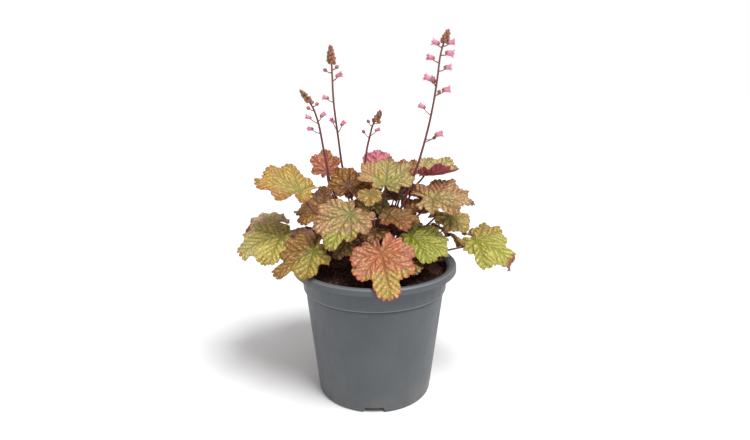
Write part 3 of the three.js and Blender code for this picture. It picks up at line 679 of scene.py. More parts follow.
def flat_blade(leaf):
    """A closed flat blade, in millimetres, its stalk end at the origin and its tip at +Y."""
    theta = fan_directions(leaf)
    radius = outline(leaf, theta)
    columns = len(theta) - 1
    rings = max(10, round(radius.max() / RING_SPACING))
    bm = bmesh.new()
    bmesh.ops.create_grid(bm, x_segments=columns, y_segments=rings, size=0.5)
    for vert in bm.verts:
        column = round((vert.co.x + 0.5) * columns)
        out = (vert.co.y + 0.5) ** RING_CROWDING * radius[column]
        angle = math.radians(theta[column])
        vert.co = (-out * math.sin(angle), out * math.cos(angle), 0)
    bmesh.ops.remove_doubles(bm, verts=bm.verts[:], dist=1e-4)
    bmesh.ops.recalc_face_normals(bm, faces=bm.faces[:])
    if sum(face.normal.z for face in bm.faces) < 0:
        bmesh.ops.reverse_faces(bm, faces=bm.faces[:])
    bmesh.ops.solidify(bm, geom=bm.faces[:], thickness=BLADE_THICKNESS)
    for face in bm.faces:
        face.smooth = True
        face.material_index = BLADE_UNDER if face.normal.z < -0.5 else BLADE_UPPER
    return bm


def show_test_shape(label, bm):
    """Prints how a test shape came out, and frees it."""
    open_edges = sum(not edge.is_manifold for edge in bm.edges)
    print(label, "faces", len(bm.faces), "open edges", open_edges,
          "volume", round(bm.calc_volume(signed=True), 1))
    bm.free()


show_test_shape("flat blade:", flat_blade(LEAVES[0]))

# %% [markdown]
# ## Bending a blade
#
# The flat blade is bent in the same way as in the construction model: an arc along the middle
# vein and an arc across it. Finer shape rides on that: the fields between veins are pillowed,
# the notches stand a little higher than the lobes, the rim ruffles, and a few lobes curl over.
# The way out of the surface is measured from two neighbouring points, so the thickness
# stays even in a tight curl.

# %% Bending a blade
QUILT_HEIGHT = 1.5
MAIN_VALLEY_WIDTH = 1.8
SIDE_VALLEY_WIDTH = 1.2
FINE_WAVE_HEIGHT = 0.3
PHASE_RANGE = 6.28
# The next three are shares of the blade's size, and the last is a share of the curled vein.
NOTCH_RISE = 0.042
BROAD_WAVE_HEIGHT = 0.062
RUFFLE_HEIGHT = 0.048
CURL_WIDTH = 0.42


def bend_over(distance, degrees, size):
    """Bends a flat distance to an arc that turns by the given angle over one size.

    Gives back how far the arc reaches, how far it falls, and its slope there.
    """
    rate = math.radians(degrees) / size
    if abs(rate) < 1e-6:
        return distance, distance * 0, distance * 0
    slope = rate * distance
    return np.sin(slope) / rate, (1 - np.cos(slope)) / rate, slope


def smooth(value, low, high):
    """0 below low, 1 above high, eased between."""
    share = np.clip((value - low) / (high - low), 0, 1)
    return share * share * (3 - 2 * share)


def vein_place(leaf, x, y):
    """Where flat places lie on a blade: along and off the nearest main vein, how far they reach
    from the stalk to the rim, their share of the lobe, and between which main veins they are."""
    theta = np.degrees(np.arctan2(-x, y))
    out = np.hypot(x, y)
    lobe = lobe_of(leaf, theta)
    past = np.radians(theta - lobe["angle"])
    return {"along": out * np.cos(past), "off": np.abs(out * np.sin(past)),
            "reach": out / outline(leaf, theta), "share": lobe["share"],
            "valley": np.searchsorted([a for a, _ in leaf["lobes"]], theta), "theta": theta}


def waves(rng, count, shortest, longest):
    """A few random ripples, for adding up."""
    made = []
    for _ in range(count):
        turn = rng.uniform(0, math.pi)
        rate = 2 * math.pi / rng.uniform(shortest, longest)
        made.append((rate * math.cos(turn), rate * math.sin(turn), rng.uniform(0, PHASE_RANGE)))
    return made


def rippled(made, x, y):
    """The sum of ripples at each place, mostly from -1 to 1."""
    total = sum(np.sin(a * x + b * y + c) for a, b, c in made)
    return total / math.sqrt(len(made) * 0.5) * 0.5


def quilted_height(leaf, style, x, y):
    """How far the blade's fields, notches, waves and ruffles rise off its smooth bend."""
    spot = vein_place(leaf, x, y)
    off, reach, size = spot["off"], spot["reach"], leaf["size"]
    shift = style["phase"][spot["valley"]] * SIDE_VEIN_SPACING
    turn = ((spot["along"] + shift - SIDE_VEIN_SLANT * off) / SIDE_VEIN_SPACING) % 1.0
    side_gap = np.abs(turn - 0.5) * SIDE_VEIN_SPACING * SIDE_VEIN_LEAN
    between_sides = 0.4 + 0.6 * (1 - np.exp(-(side_gap / SIDE_VALLEY_WIDTH) ** 2))
    pillow = (1 - np.exp(-(off / MAIN_VALLEY_WIDTH) ** 2)) * between_sides
    height = QUILT_HEIGHT * pillow * smooth(reach, 0.02, 0.25)
    height *= 1 - 0.5 * smooth(reach, 0.8, 1)
    height += NOTCH_RISE * size * (np.minimum(spot["share"], 1.2) ** 2 - 0.4) * reach ** 2.5
    height += BROAD_WAVE_HEIGHT * size * rippled(style["broad"], x, y) * reach ** 1.5
    ruffle = np.sin(np.radians(spot["theta"]) * style["ruffles"] + style["start"])
    height += RUFFLE_HEIGHT * size * ruffle * reach ** 4
    height += FINE_WAVE_HEIGHT * rippled(style["fine"], x, y) * smooth(reach, 0.05, 0.3)
    return height


def curl_lobe(leaf, curl, x, y):
    """Rolls one lobe's tip over. Gives the moved flat places and how far each one drops."""
    angle, start, degrees = curl
    ahead = (-math.sin(math.radians(angle)), math.cos(math.radians(angle)))
    length = vein_length(leaf, angle)
    aside = np.abs(x * ahead[1] - y * ahead[0])
    extra = np.maximum(x * ahead[0] + y * ahead[1] - start * length, 0)
    part = np.exp(-(aside / (CURL_WIDTH * length)) ** 4)
    arc, drop, _ = bend_over(extra, degrees, (1 - start) * length)
    return x + ahead[0] * (arc - extra) * part, y + ahead[1] * (arc - extra) * part, drop * part


def blade_surface(leaf, style, x, y):
    """The blade's middle surface at flat places, in its own frame."""
    size = leaf["size"]
    height = quilted_height(leaf, style, x, y)
    if style["curl"]:
        x, y, drop = curl_lobe(leaf, style["curl"], x, y)
        height = height - drop
    across, fall_x, slope_x = bend_over(x, leaf["fold"], size)
    ahead, fall_y, slope_y = bend_over(y, leaf["droop"], size)
    normal = np.stack([np.tan(slope_x), np.tan(slope_y), np.ones_like(slope_x)], axis=1)
    normal /= np.linalg.norm(normal, axis=1)[:, None]
    middle = np.stack([across, ahead, -fall_x - fall_y], axis=1)
    return middle + normal * height[:, None]


def leaf_turn(leaf):
    """The rotation and place that put a blade into the plant, in millimetres."""
    return (Matrix.Translation(leaf["at"])
            @ Matrix.Rotation(math.radians(leaf["heading"] - 90), 4, "Z")
            @ Matrix.Rotation(math.radians(-leaf["dip"]), 4, "X")
            @ Matrix.Rotation(math.radians(leaf["lean"]), 4, "Y"))


def store(mesh, name, values):
    """Keeps three numbers for each vertex as a named attribute."""
    layer = mesh.attributes.new(name, "FLOAT_VECTOR", "POINT")
    layer.data.foreach_set("vector", np.asarray(values, np.float32).ravel())


def finished_mesh(bm, name, sharp_degrees=50):
    """A bmesh in metres as a mesh, with edges sharper than an angle kept crisp."""
    mesh = bpy.data.meshes.new(name)
    bm.to_mesh(mesh)
    bm.free()
    mesh.set_sharp_from_angle(angle=math.radians(sharp_degrees))
    return mesh


def add_piece(name, mesh, materials, slot_name, node_name):
    """Links a finished mesh as a piece that stands for a node of the frame."""
    piece = bpy.data.objects.new(name, mesh)
    scene.collection.objects.link(piece)
    for material in materials:
        mesh.materials.append(material)
    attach(piece, "root")
    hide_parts(node_name)
    return piece


def triangle_count(piece):
    """How many triangles the faces of a piece come to."""
    return sum(len(face.vertices) - 2 for face in piece.data.polygons)


print("bending a straight 40 mm by 30 degrees:", bend_over(40.0, 30, 40)[0].round(1))

# %% [markdown]
# ## Paths and rods
#
# Stalks and stems are rods along a curve. A path goes smoothly through its points. The rod is
# grown as a sculptor would roll it: a disc is extruded from point to point, turned to face the
# way and scaled to the width there.

# %% Paths and rods
def through(points, per_span=10):
    """A centripetal Catmull-Rom path through the points."""
    points = [Vector(p) for p in points]
    padded = [points[0] * 2 - points[1]] + points + [points[-1] * 2 - points[-2]]
    path = []
    for a, b, c, d in zip(padded, padded[1:], padded[2:], padded[3:]):
        t1 = (b - a).length ** 0.5
        t2 = t1 + (c - b).length ** 0.5
        t3 = t2 + (d - c).length ** 0.5
        for i in range(per_span):
            t = t1 + (t2 - t1) * i / per_span
            ab = a.lerp(b, t / t1)
            bc = b.lerp(c, (t - t1) / (t2 - t1))
            cd = c.lerp(d, (t - t2) / (t3 - t2))
            abc = ab.lerp(bc, t / t2)
            bcd = bc.lerp(cd, (t - t1) / (t3 - t1))
            path.append(abc.lerp(bcd, (t - t1) / (t2 - t1)))
    return path + [points[-1]]


def cubic(start, first, second, end, steps=24):
    """A cubic Bezier path."""
    path = []
    for i in range(steps + 1):
        t = i / steps
        path.append(start * (1 - t) ** 3 + first * 3 * t * (1 - t) ** 2
                    + second * 3 * t * t * (1 - t) + end * t ** 3)
    return path


def grow_rod(bm, path, radii, sides=10, material=0):
    """A closed round rod along a path, with a radius for each point."""
    ring = bmesh.ops.create_circle(bm, cap_ends=True, segments=sides, radius=1.0)["verts"]
    face = ring[0].link_faces[0]
    side = (path[1] - path[0]).orthogonal().normalized()
    spokes = [Vector((math.cos(2 * math.pi * i / sides), math.sin(2 * math.pi * i / sides)))
              for i in range(sides)]
    for step, (place, radius) in enumerate(zip(path, radii)):
        ahead = (path[min(step + 1, len(path) - 1)] - path[max(step - 1, 0)]).normalized()
        side = (side - ahead * side.dot(ahead)).normalized()
        other = ahead.cross(side)
        if step:
            made = bmesh.ops.extrude_face_region(bm, geom=[face])["geom"]
            face = next(g for g in made if isinstance(g, bmesh.types.BMFace))
        for vert, spoke in zip(face.verts, spokes):
            vert.co = place + (side * spoke.x + other * spoke.y) * radius
    linked, todo = set(), [face]
    while todo:
        seen = todo.pop()
        if seen not in linked:
            linked.add(seen)
            todo += [f for e in seen.edges for f in e.link_faces]
    for found in linked:
        found.material_index = material
        found.smooth = len(found.verts) == 4
    bmesh.ops.recalc_face_normals(bm, faces=list(linked))
    return linked


test_bm = bmesh.new()
grow_rod(test_bm, through([(0, 0, 0), (0, 0, 10), (5, 0, 20)]), [1.0] * 21)
show_test_shape("rod:", test_bm)

# %% [markdown]
# ## Stalk finish
#
# Leaf stalks and flower stems are wine red with a dull skin, lighter in patches, and paler and
# browner towards their young ends. Fine ribs run along them, which a stretched noise suggests.

# %% Stalk finish
def stem_finish(name, dark, light, young, young_from, young_to):
    """Wine red skin that turns to a younger colour between two heights in metres."""
    material, tree, shader = new_material(name)
    place = object_place(tree)
    stretched = add_node(tree, "ShaderNodeMapping", {"Vector": place, "Scale": (1.0, 1.0, 0.12)})
    patch = mottle(tree, stretched.outputs["Vector"], 180.0, 1400.0)
    colour = blend(tree, patch, tone(dark), tone(light))
    height = add_node(tree, "ShaderNodeSeparateXYZ", {0: place}).outputs["Z"]
    colour = blend(tree, ease(tree, height, young_from, young_to, 0.0, 0.6), colour, tone(young))
    tree.links.new(colour, shader.inputs["Base Color"])
    tree.links.new(ease(tree, patch, 0.0, 1.0, 0.42, 0.6), shader.inputs["Roughness"])
    set_bump(tree, shader, patch, 0.15 * MM, 0.7)
    return material


STALK_PAINT = stem_finish("stalk_skin", "4a1f1f", "7c4440", "8a6a50", 0.19, 0.24)
STEM_PAINT = stem_finish("flower_stem_skin", "571f2c", "7c3a42", "8c5048", 0.26, 0.36)
print("stalk finishes ready")

# %% [markdown]
# ## Leaf stalks
#
# Every leaf stalk rises from the crown, bows outwards and meets its blade from below, just in
# front of the cleft. It is thickest where it leaves the crown and swells again under the blade.

# %% Leaf stalks
CROWN_RADIUS = 16
CROWN_HEIGHT = 10
CROWN_SEAT = 130.35
ROOT_GAP = 0.45
ROOT_DEPTH = 2.5
ROOT_LIFT = 0.35
STALK_BOW = 0.35
STALK_REACH = 0.28
STALK_STEEPNESS = 0.6
STALK_END_DROP = 1.6
LARGE_STALK_RADIUS = 1.15
SMALL_STALK_RADIUS = 0.85
LARGE_LEAF_SIZE = 30
STALK_SIDES = 8


def root_on_crown(azimuth, elevation):
    """Where a stalk starts on the crown, and the way it leaves."""
    turn, rise = math.radians(azimuth), math.radians(elevation)
    out = Vector((math.cos(turn) * math.cos(rise), math.sin(turn) * math.cos(rise), math.sin(rise)))
    start = Vector((out.x * (CROWN_RADIUS + ROOT_GAP), out.y * (CROWN_RADIUS + ROOT_GAP),
                    CROWN_SEAT + out.z * (CROWN_HEIGHT + ROOT_GAP)))
    return start, (out + Vector((0, 0, ROOT_LIFT))).normalized()


def stalk_path(leaf):
    """The stalk's path from the crown to the underside of its blade."""
    turn = leaf_turn(leaf).to_3x3()
    up, outward = turn @ Vector((0, 0, 1)), turn @ Vector((0, 1, 0))
    arrive = (up * STALK_STEEPNESS + outward * (1 - STALK_STEEPNESS)).normalized()
    end = Vector(leaf["at"]) - up * STALK_END_DROP
    start, way = root_on_crown(*leaf["root"])
    if leaf["via"]:
        points = [start, start + way * 4] + [Vector(p) for p in leaf["via"]]
        path = through(points + [end - arrive * 5, end], 6)
    else:
        span = (end - start).length
        path = cubic(start, start + way * span * STALK_BOW, end - arrive * span * STALK_REACH, end)
    return [start - way * ROOT_DEPTH] + path + [Vector(leaf["at"]) - up * 0.1]


def stalk_width(t):
    """A stalk's width from 0 at the crown to 1 at the blade: thick foot, slim, swollen end."""
    return 1.55 - 0.65 * min(1, t * 1.6) + 0.35 * max(0, t - 0.93) / 0.07


def add_stalk(mesh, leaf):
    """Grows a leaf's stalk into the mesh of its blade."""
    path = stalk_path(leaf)
    radius = LARGE_STALK_RADIUS if leaf["size"] > LARGE_LEAF_SIZE else SMALL_STALK_RADIUS
    radii = [radius * stalk_width(i / (len(path) - 1)) for i in range(len(path))]
    bm = bmesh.new()
    bm.from_mesh(mesh)
    grow_rod(bm, [p * MM for p in path], [r * MM for r in radii], STALK_SIDES, STALK)
    bm.to_mesh(mesh)
    bm.free()


print("first stalk's path starts at", [round(c) for c in stalk_path(LEAVES[0])[0]])

# %% [markdown]
# ## The leaves
#
# Each blade is cut flat, bent and turned into its place, and its stalk is grown into the same
# mesh, because a leaf is one piece. Its ripples come from a seed of its own, so that no two are
# alike and every run gives the same plant. What the finish needs to know about each place on the
# blade is stored with the vertices.

# %% The leaves
LEAF_SEED = 1000
RIB_HEIGHT = 0.5
RIB_WIDTH = 0.8
ZONE_SOFTNESS = 0.3
TIP_SOFTNESS = 0.14
PATTERN_SHIFT = (31, 17)
BLADE_EDGE_DEGREES = 70


def leaf_style(number, paint):
    """The chance part of a blade's shape, always the same for the same number."""
    rng = random.Random(LEAF_SEED + number)
    phase = np.array([rng.random() for _ in range(12)])
    return {"phase": phase, "broad": waves(rng, 4, 26, 60), "fine": waves(rng, 8, 4.5, 9),
            "ruffles": rng.randint(9, 13), "start": rng.uniform(0, PHASE_RANGE),
            "curl": paint["curl"]}


def bend_blade(mesh, leaf, style):
    """Bends the flat blade and puts it in its place. Gives back the flat places of its points."""
    flat = np.zeros(len(mesh.vertices) * 3, np.float32)
    mesh.vertices.foreach_get("co", flat)
    x, y, z = flat.reshape(-1, 3).astype(float).T
    spot = vein_place(leaf, x, y)
    step = 0.05
    middle = blade_surface(leaf, style, x, y)
    toward_x = blade_surface(leaf, style, x + step, y) - middle
    toward_y = blade_surface(leaf, style, x, y + step) - middle
    out = np.cross(toward_x, toward_y)
    out /= np.linalg.norm(out, axis=1)[:, None]
    rib = RIB_HEIGHT * np.exp(-(spot["off"] / RIB_WIDTH) ** 2) * np.clip(1 - spot["reach"], 0, 1)
    below = z < z.mean()
    lift = np.where(below, -BLADE_THICKNESS / 2 - rib, BLADE_THICKNESS / 2 - 0.3 * rib)
    placed = middle + out * lift[:, None]
    turn = np.array(leaf_turn(leaf))
    world_place = (placed @ turn[:3, :3].T + turn[:3, 3]) * MM
    mesh.vertices.foreach_set("co", world_place.astype(np.float32).ravel())
    mesh.update()
    return x, y


def ahead_along(angle, x, y):
    """How far flat places lie ahead in a direction given in degrees."""
    turn = math.radians(angle)
    return -x * math.sin(turn) + y * math.cos(turn)


def store_tints(mesh, number, leaf, paint, style, x, y):
    """Stores the vein place, the flat place and the two tints of every point of a blade."""
    spot = vein_place(leaf, x, y)
    shifted = spot["along"] + style["phase"][spot["valley"]] * SIDE_VEIN_SPACING
    store(mesh, "vein", np.stack([shifted, spot["off"], spot["reach"]], 1))
    shift_x, shift_y = (number * shift for shift in PATTERN_SHIFT)
    store(mesh, "flat", np.stack([x + shift_x, y + shift_y, x * 0 + number], 1))
    zone = smooth(ahead_along(paint["toward"], x, y) / leaf["size"],
                  paint["zone_from"] - ZONE_SOFTNESS, paint["zone_from"] + ZONE_SOFTNESS)
    tip = x * 0
    if style["curl"]:
        angle, start, _ = style["curl"]
        length = vein_length(leaf, angle)
        tip = smooth(ahead_along(angle, x, y), start * length, (start + TIP_SOFTNESS) * length)
    store(mesh, "tint", np.stack([zone, tip, x * 0], 1))


def make_leaf(number, leaf, paint):
    """One finished leaf, blade and stalk."""
    name = f"heuchera_leaf_{number:02d}"
    style = leaf_style(number, paint)
    mesh = finished_mesh(flat_blade(leaf), name)
    x, y = bend_blade(mesh, leaf, style)
    store_tints(mesh, number, leaf, paint, style, x, y)
    add_stalk(mesh, leaf)
    mesh.set_sharp_from_angle(angle=math.radians(BLADE_EDGE_DEGREES))
    finishes = [leaf_upper(name + "_upper", paint), UNDER[paint["under"]], STALK_PAINT]
    return add_piece(name, mesh, finishes, "leaf", f"leaf_{number:02d}")


leaves = [make_leaf(i + 1, leaf, paint) for i, (leaf, paint) in enumerate(zip(LEAVES, LOOKS))]
leaf_triangles = [triangle_count(leaf) for leaf in leaves]
print("leaves:", len(leaves), "triangles:", sum(leaf_triangles), "most:", max(leaf_triangles))

# %% [markdown]
# ## Bells and buds
#
# A flower is a bell some eight millimetres long: a swollen pink cup with five pointed lobes at
# the mouth, five pale stamens and a darker foot. It is a profile spun round its axis, with every
# third column of the mouth pulled out to a point. A bud is a small pointed ball with five ribs.
# They repeat many times, so each has few faces. The numbers of a flower stem's six finishes are
# named here, in the order in which its mesh will hold them.

# %% Bells and buds
BELL_PROFILE = [(0.0, -3.2), (0.7, -3.1), (1.3, -2.5), (1.75, -1.3), (1.85, 0.2), (1.9, 1.4),
                (2.5, 2.6), (2.35, 2.7), (1.65, 1.5), (1.6, 0.2), (1.3, -1.0), (0.0, -1.3)]
CALYX_TOP = -1.6
MOUTH_FOOT = 2.0
BELL_LOBES = 5
STEM, BELL, STAMEN, OLIVE_BUD, PINK_BUD, RUSTY_BUD = range(6)


def aimed(place, way, scale=1.0):
    """A matrix that puts a shape's +Z along the way, at a place in millimetres."""
    turn = Vector(way).to_track_quat("Z", "Y").to_matrix().to_4x4()
    return Matrix.Scale(MM, 4) @ Matrix.Translation(place) @ turn @ Matrix.Scale(scale, 4)


def paint_faces(verts, material):
    """Gives the faces around some vertices a material and smooth shading."""
    for face in {f for v in verts for f in v.link_faces}:
        face.material_index = material
        face.smooth = True


def spin_profile(bm, profile, steps):
    """Spins pairs of radius and height round the axis. Gives back the new vertices."""
    before = set(bm.verts)
    verts = [bm.verts.new((radius, 0, height)) for radius, height in profile]
    edges = [bm.edges.new(pair) for pair in zip(verts, verts[1:])]
    bmesh.ops.spin(bm, geom=verts + edges, cent=(0, 0, 0), axis=(0, 0, 1), dvec=(0, 0, 0),
                   angle=2 * math.pi, steps=steps, use_merge=True)
    made = [v for v in bm.verts if v not in before]
    bmesh.ops.remove_doubles(bm, verts=made, dist=1e-3)
    return [v for v in bm.verts if v not in before]


def add_stamen(bm, turn):
    """One thin stamen with a thicker end, leaning out of the mouth. Gives back its vertices."""
    foot = Vector((0.6 * math.cos(turn), 0.6 * math.sin(turn), -1.2))
    tip = Vector((0.95 * math.cos(turn), 0.95 * math.sin(turn), 3.1))
    faces = grow_rod(bm, [foot, foot.lerp(tip, 0.85), tip], [0.12, 0.12, 0.24], 4, STAMEN)
    return list({v for f in faces for v in f.verts})


def add_bell(bm, place, way, scale):
    """One open bell with its stamens and its darker foot."""
    made = spin_profile(bm, BELL_PROFILE, 3 * BELL_LOBES)
    for vert in made:
        if vert.co.z > MOUTH_FOOT:
            turn = math.atan2(vert.co.y, vert.co.x) * BELL_LOBES
            flare = 0.5 + 0.5 * math.cos(turn)
            vert.co.x *= 0.6 + 0.65 * flare
            vert.co.y *= 0.6 + 0.65 * flare
            vert.co.z += 1.5 * flare - 0.9
    bmesh.ops.recalc_face_normals(bm, faces=list({f for v in made for f in v.link_faces}))
    paint_faces(made, BELL)
    for face in {f for v in made for f in v.link_faces}:
        if face.calc_center_median().z < CALYX_TOP:
            face.material_index = PINK_BUD
    for i in range(BELL_LOBES):
        made += add_stamen(bm, 2 * math.pi * (i + 0.5) / BELL_LOBES)
    bmesh.ops.transform(bm, matrix=aimed(place, way, scale), verts=made)


def add_bud(bm, place, way, radius, length, material):
    """One closed bud: a ribbed ball drawn out to a point."""
    made = bmesh.ops.create_uvsphere(bm, u_segments=10, v_segments=6, radius=1.0)["verts"]
    for vert in made:
        rib = 1 + 0.07 * math.cos(BELL_LOBES * math.atan2(vert.co.y, vert.co.x))
        narrow = 1 - 0.35 * max(vert.co.z, 0)
        vert.co.x *= radius * rib * narrow
        vert.co.y *= radius * rib * narrow
        vert.co.z *= length / 2
    bmesh.ops.transform(bm, matrix=aimed(place, way), verts=made)
    paint_faces(made, material)


test_bm = bmesh.new()
add_bell(test_bm, (0, 0, 0), (0, 0, 1), 1.0)
show_test_shape("bell:", test_bm)

# %% [markdown]
# ## Flower finishes
#
# Bells are clear pink in paler and deeper patches, with pale stamens. Buds are still olive,
# brownish pink or rusty, and the foot of each bell has the brownish pink of a bud.

# %% Flower finishes
def petal_finish(name, pale, deep, roughness):
    """Patchy petal skin with a fine grain."""
    material, tree, shader = new_material(name)
    place = object_place(tree)
    patch = mottle(tree, place, 260.0, 1600.0)
    tree.links.new(blend(tree, patch, tone(deep), tone(pale)), shader.inputs["Base Color"])
    sheen = ease(tree, patch, 0.0, 1.0, roughness, roughness + 0.15)
    tree.links.new(sheen, shader.inputs["Roughness"])
    set_bump(tree, shader, patch, 0.12 * MM, 0.6)
    return material


FLOWER_PAINTS = [STEM_PAINT,
                 petal_finish("bell_petal", "e29cb4", "cc6a90", 0.5),
                 petal_finish("bell_stamen", "ecc4a8", "cc8468", 0.55),
                 petal_finish("bud_olive", "94805c", "6a5238", 0.6),
                 petal_finish("bud_pink", "b87c70", "8a5048", 0.55),
                 petal_finish("bud_rusty", "bc7c50", "8a4c34", 0.6)]
print("flower finishes:", [m.name for m in FLOWER_PAINTS])

# %% [markdown]
# ## Flower stems
#
# Each stem is one piece, because it grew as one: the rod, thin side stalks with a small scale
# at their foot, bells and loose buds on them, and a cone of buds wound round the tip at the
# golden angle. The places are those of the construction model, in millimetres.

# %% Flower stems
GOLDEN_ANGLE = 2.39996
STEM_SEED = 300
STEM_RADIUS = 1.5
STEM_TAPER = 0.7
STEM_SIDES = 8
SIDE_STALK_RADIUS = 0.5
SIDE_STALK_SIDES = 6
SIDE_STALK_SAG = 0.8
HEAD_BUDS_PER_MM = 1.75
HEAD_BUD_COLOURS = (OLIVE_BUD, PINK_BUD, RUSTY_BUD, RUSTY_BUD)


def stem_row(root, path, bells, buds, head, bell_size=1.1):
    """One flower stem as a dictionary."""
    return {"root": root, "path": path, "bells": bells, "buds": buds, "head": head,
            "bell_size": bell_size}


STEMS = [
    stem_row((178, 62), [(-20, 14, 168), (-44, 26, 208), (-53, 27, 252), (-57, 26, 276),
                         (-62, 26, 292), (-68, 26, 302), (-74, 26, 310)],
             [(277, (-67, 23, 284)), (279, (-53, 28, 286)), (267, (-66, 29, 272))],
             [(294, (-58, 24, 297)), (290, (-67, 24, 293))], (12, 4.4)),
    stem_row((122, 64), [(-14, 20, 170), (-33, 39, 224), (-38, 34, 262), (-42, 32, 300),
                         (-43, 32, 329), (-44, 32, 353)],
             [(319, (-36, 30, 325)), (298, (-50, 33, 303)), (267, (-33, 35, 277)),
              (269, (-43, 26, 280))],
             [(327, (-50, 32, 330)), (330, (-38, 33, 333))], (17, 4.7)),
    stem_row((100, 60), [(-3, 26, 172), (-11, 50, 215), (-9, 54, 245), (-5, 54, 263),
                         (-2, 54, 274), (3, 54, 282), (6, 54, 289)],
             [(262, (3, 53, 269))],
             [(272, (-7, 53, 278)), (275, (5, 55, 277)), (260, (-12, 54, 267))], (12, 4.6)),
    stem_row((14, 64), [(17, 10, 168), (31, 15, 200), (43, 15, 234), (53, 14, 272),
                        (58, 14, 298), (61, 14, 320), (64, 14, 346), (70, 14, 366)],
             [(351, (73, 13, 355)), (350, (59, 16, 355)), (343, (72, 12, 345)),
              (336, (54, 12, 341)), (328, (71, 15, 332)), (315, (52, 13, 322)),
              (313, (58, 20, 320)), (305, (70, 13, 311)), (286, (47, 16, 295)),
              (259, (64, 12, 268))],
             [(262, (60, 15, 264)), (304, (64, 19, 309))], (11, 4.4), bell_size=1.35),
]


def point_at(path, height):
    """The point of a rising path at a height."""
    for low, high in zip(path, path[1:]):
        if low.z <= height <= high.z:
            return low.lerp(high, (height - low.z) / max(high.z - low.z, 1e-6))
    return path[-1].copy()


def add_side_stalk(bm, foot, place):
    """A thin sagging side stalk with a scale at its foot. Gives back the way it points."""
    bow = foot.lerp(place, 0.5) - Vector((0, 0, SIDE_STALK_SAG))
    line = through([foot, bow, place], 4)
    grow_rod(bm, [p * MM for p in line], [SIDE_STALK_RADIUS * MM] * len(line),
             SIDE_STALK_SIDES, STEM)
    out = (place - foot).normalized()
    add_bud(bm, foot + out * 0.9, out + Vector((0, 0, 0.6)), 0.55, 2.6, OLIVE_BUD)
    return out


def add_head(bm, path, length, radius, rng):
    """The cone of buds wound round the stem's tip, smaller towards the top."""
    count = int(length * HEAD_BUDS_PER_MM)
    for i in range(count):
        up = i / (count - 1)
        middle = point_at(path, path[-1].z - length * (0.95 - up * 0.95))
        angle = i * GOLDEN_ANGLE
        ring = (radius - 1.4) * (1 - 0.75 * up ** 2.6) * rng.uniform(0.8, 1.1)
        out = Vector((math.cos(angle), math.sin(angle), 0.35 + 1.4 * up))
        spot = middle + Vector((math.cos(angle), math.sin(angle), 0)) * ring
        add_bud(bm, spot, out, 1.75 * (1.1 - 0.35 * up), 3.7 * (1.1 - 0.3 * up),
                rng.choice(HEAD_BUD_COLOURS))


def make_flower_stem(number, spec):
    """One flower stem with its bells, buds and head."""
    rng = random.Random(STEM_SEED + number)
    start, way = root_on_crown(*spec["root"])
    path = through([start, start + way * 5] + spec["path"], 8)
    bm = bmesh.new()
    steps = len(path) - 1
    radii = [STEM_RADIUS] + [STEM_RADIUS - STEM_TAPER * i / steps for i in range(steps + 1)]
    grow_rod(bm, [p * MM for p in [path[0] - way * ROOT_DEPTH] + path], [r * MM for r in radii],
             STEM_SIDES, STEM)
    for height, place in spec["bells"]:
        out = add_side_stalk(bm, point_at(path, height), Vector(place))
        size = spec["bell_size"] * rng.uniform(0.9, 1.1)
        add_bell(bm, place, out + Vector((0, 0, -0.35)), size)
    for height, place in spec["buds"]:
        out = add_side_stalk(bm, point_at(path, height), Vector(place))
        add_bud(bm, place, out, 2.0, 4.6, PINK_BUD)
    add_head(bm, path, *spec["head"], rng)
    name = f"bell_stem_{number}"
    return add_piece(name, finished_mesh(bm, name), FLOWER_PAINTS, "flower_stem",
                     f"flower_stem_{number}")


flower_stems = [make_flower_stem(i + 1, spec) for i, spec in enumerate(STEMS)]
print("flower stem faces:", [len(s.data.polygons) for s in flower_stems])

# %% [markdown]
# ## Crown
#
# The crown is the short woody base that the stalks leave. It is a lumpy dome with brown papery
# scales, the feet of old leaves. The dome is a spun profile moved by ripples.

# %% Crown
def spun(profile, steps):
    """A profile of radius and height in millimetres, spun into a closed shape."""
    bm = bmesh.new()
    spin_profile(bm, profile, steps)
    bmesh.ops.recalc_face_normals(bm, faces=bm.faces[:])
    for face in bm.faces:
        face.smooth = True
    return bm


def in_metres(bm):
    """Scales a bmesh from millimetres to metres."""
    bmesh.ops.scale(bm, vec=(MM, MM, MM), verts=bm.verts[:])
    return bm


def bark_finish(name, dark, light):
    """Rough fibrous brown, for bark, papery scales and peat."""
    material, tree, shader = new_material(name)
    place = object_place(tree)
    patch = mottle(tree, place, 220.0, 1300.0)
    tree.links.new(blend(tree, patch, tone(dark), tone(light)), shader.inputs["Base Color"])
    tree.links.new(ease(tree, patch, 0.0, 1.0, 0.75, 0.95), shader.inputs["Roughness"])
    set_bump(tree, shader, patch, 0.5 * MM, 0.9)
    return material


CROWN_FLOOR = 129.0
CROWN_SCALES = 46
SCALE_THICKNESS = 0.3

dome = [(0.0, CROWN_FLOOR), (CROWN_RADIUS - 1, CROWN_FLOOR)]
dome += [(CROWN_RADIUS * math.cos(a), CROWN_SEAT + CROWN_HEIGHT * math.sin(a))
         for a in np.linspace(0, math.pi / 2 - 0.08, 14)]
dome.append((0.0, CROWN_SEAT + CROWN_HEIGHT))
crown_bm = spun(dome, 48)
lumps = waves(random.Random(5), 7, 5, 12)
for vert in crown_bm.verts:
    if vert.co.z > CROWN_SEAT:
        vert.co.z += float(rippled(lumps, vert.co.x, vert.co.y)) - 0.6
print("dome faces:", len(crown_bm.faces))

# %% [markdown]
# Each scale is a small grid, narrow at both ends and curved, that gets a thickness and leans out
# of the dome. The golden angle between one and the next spreads them without any rows.

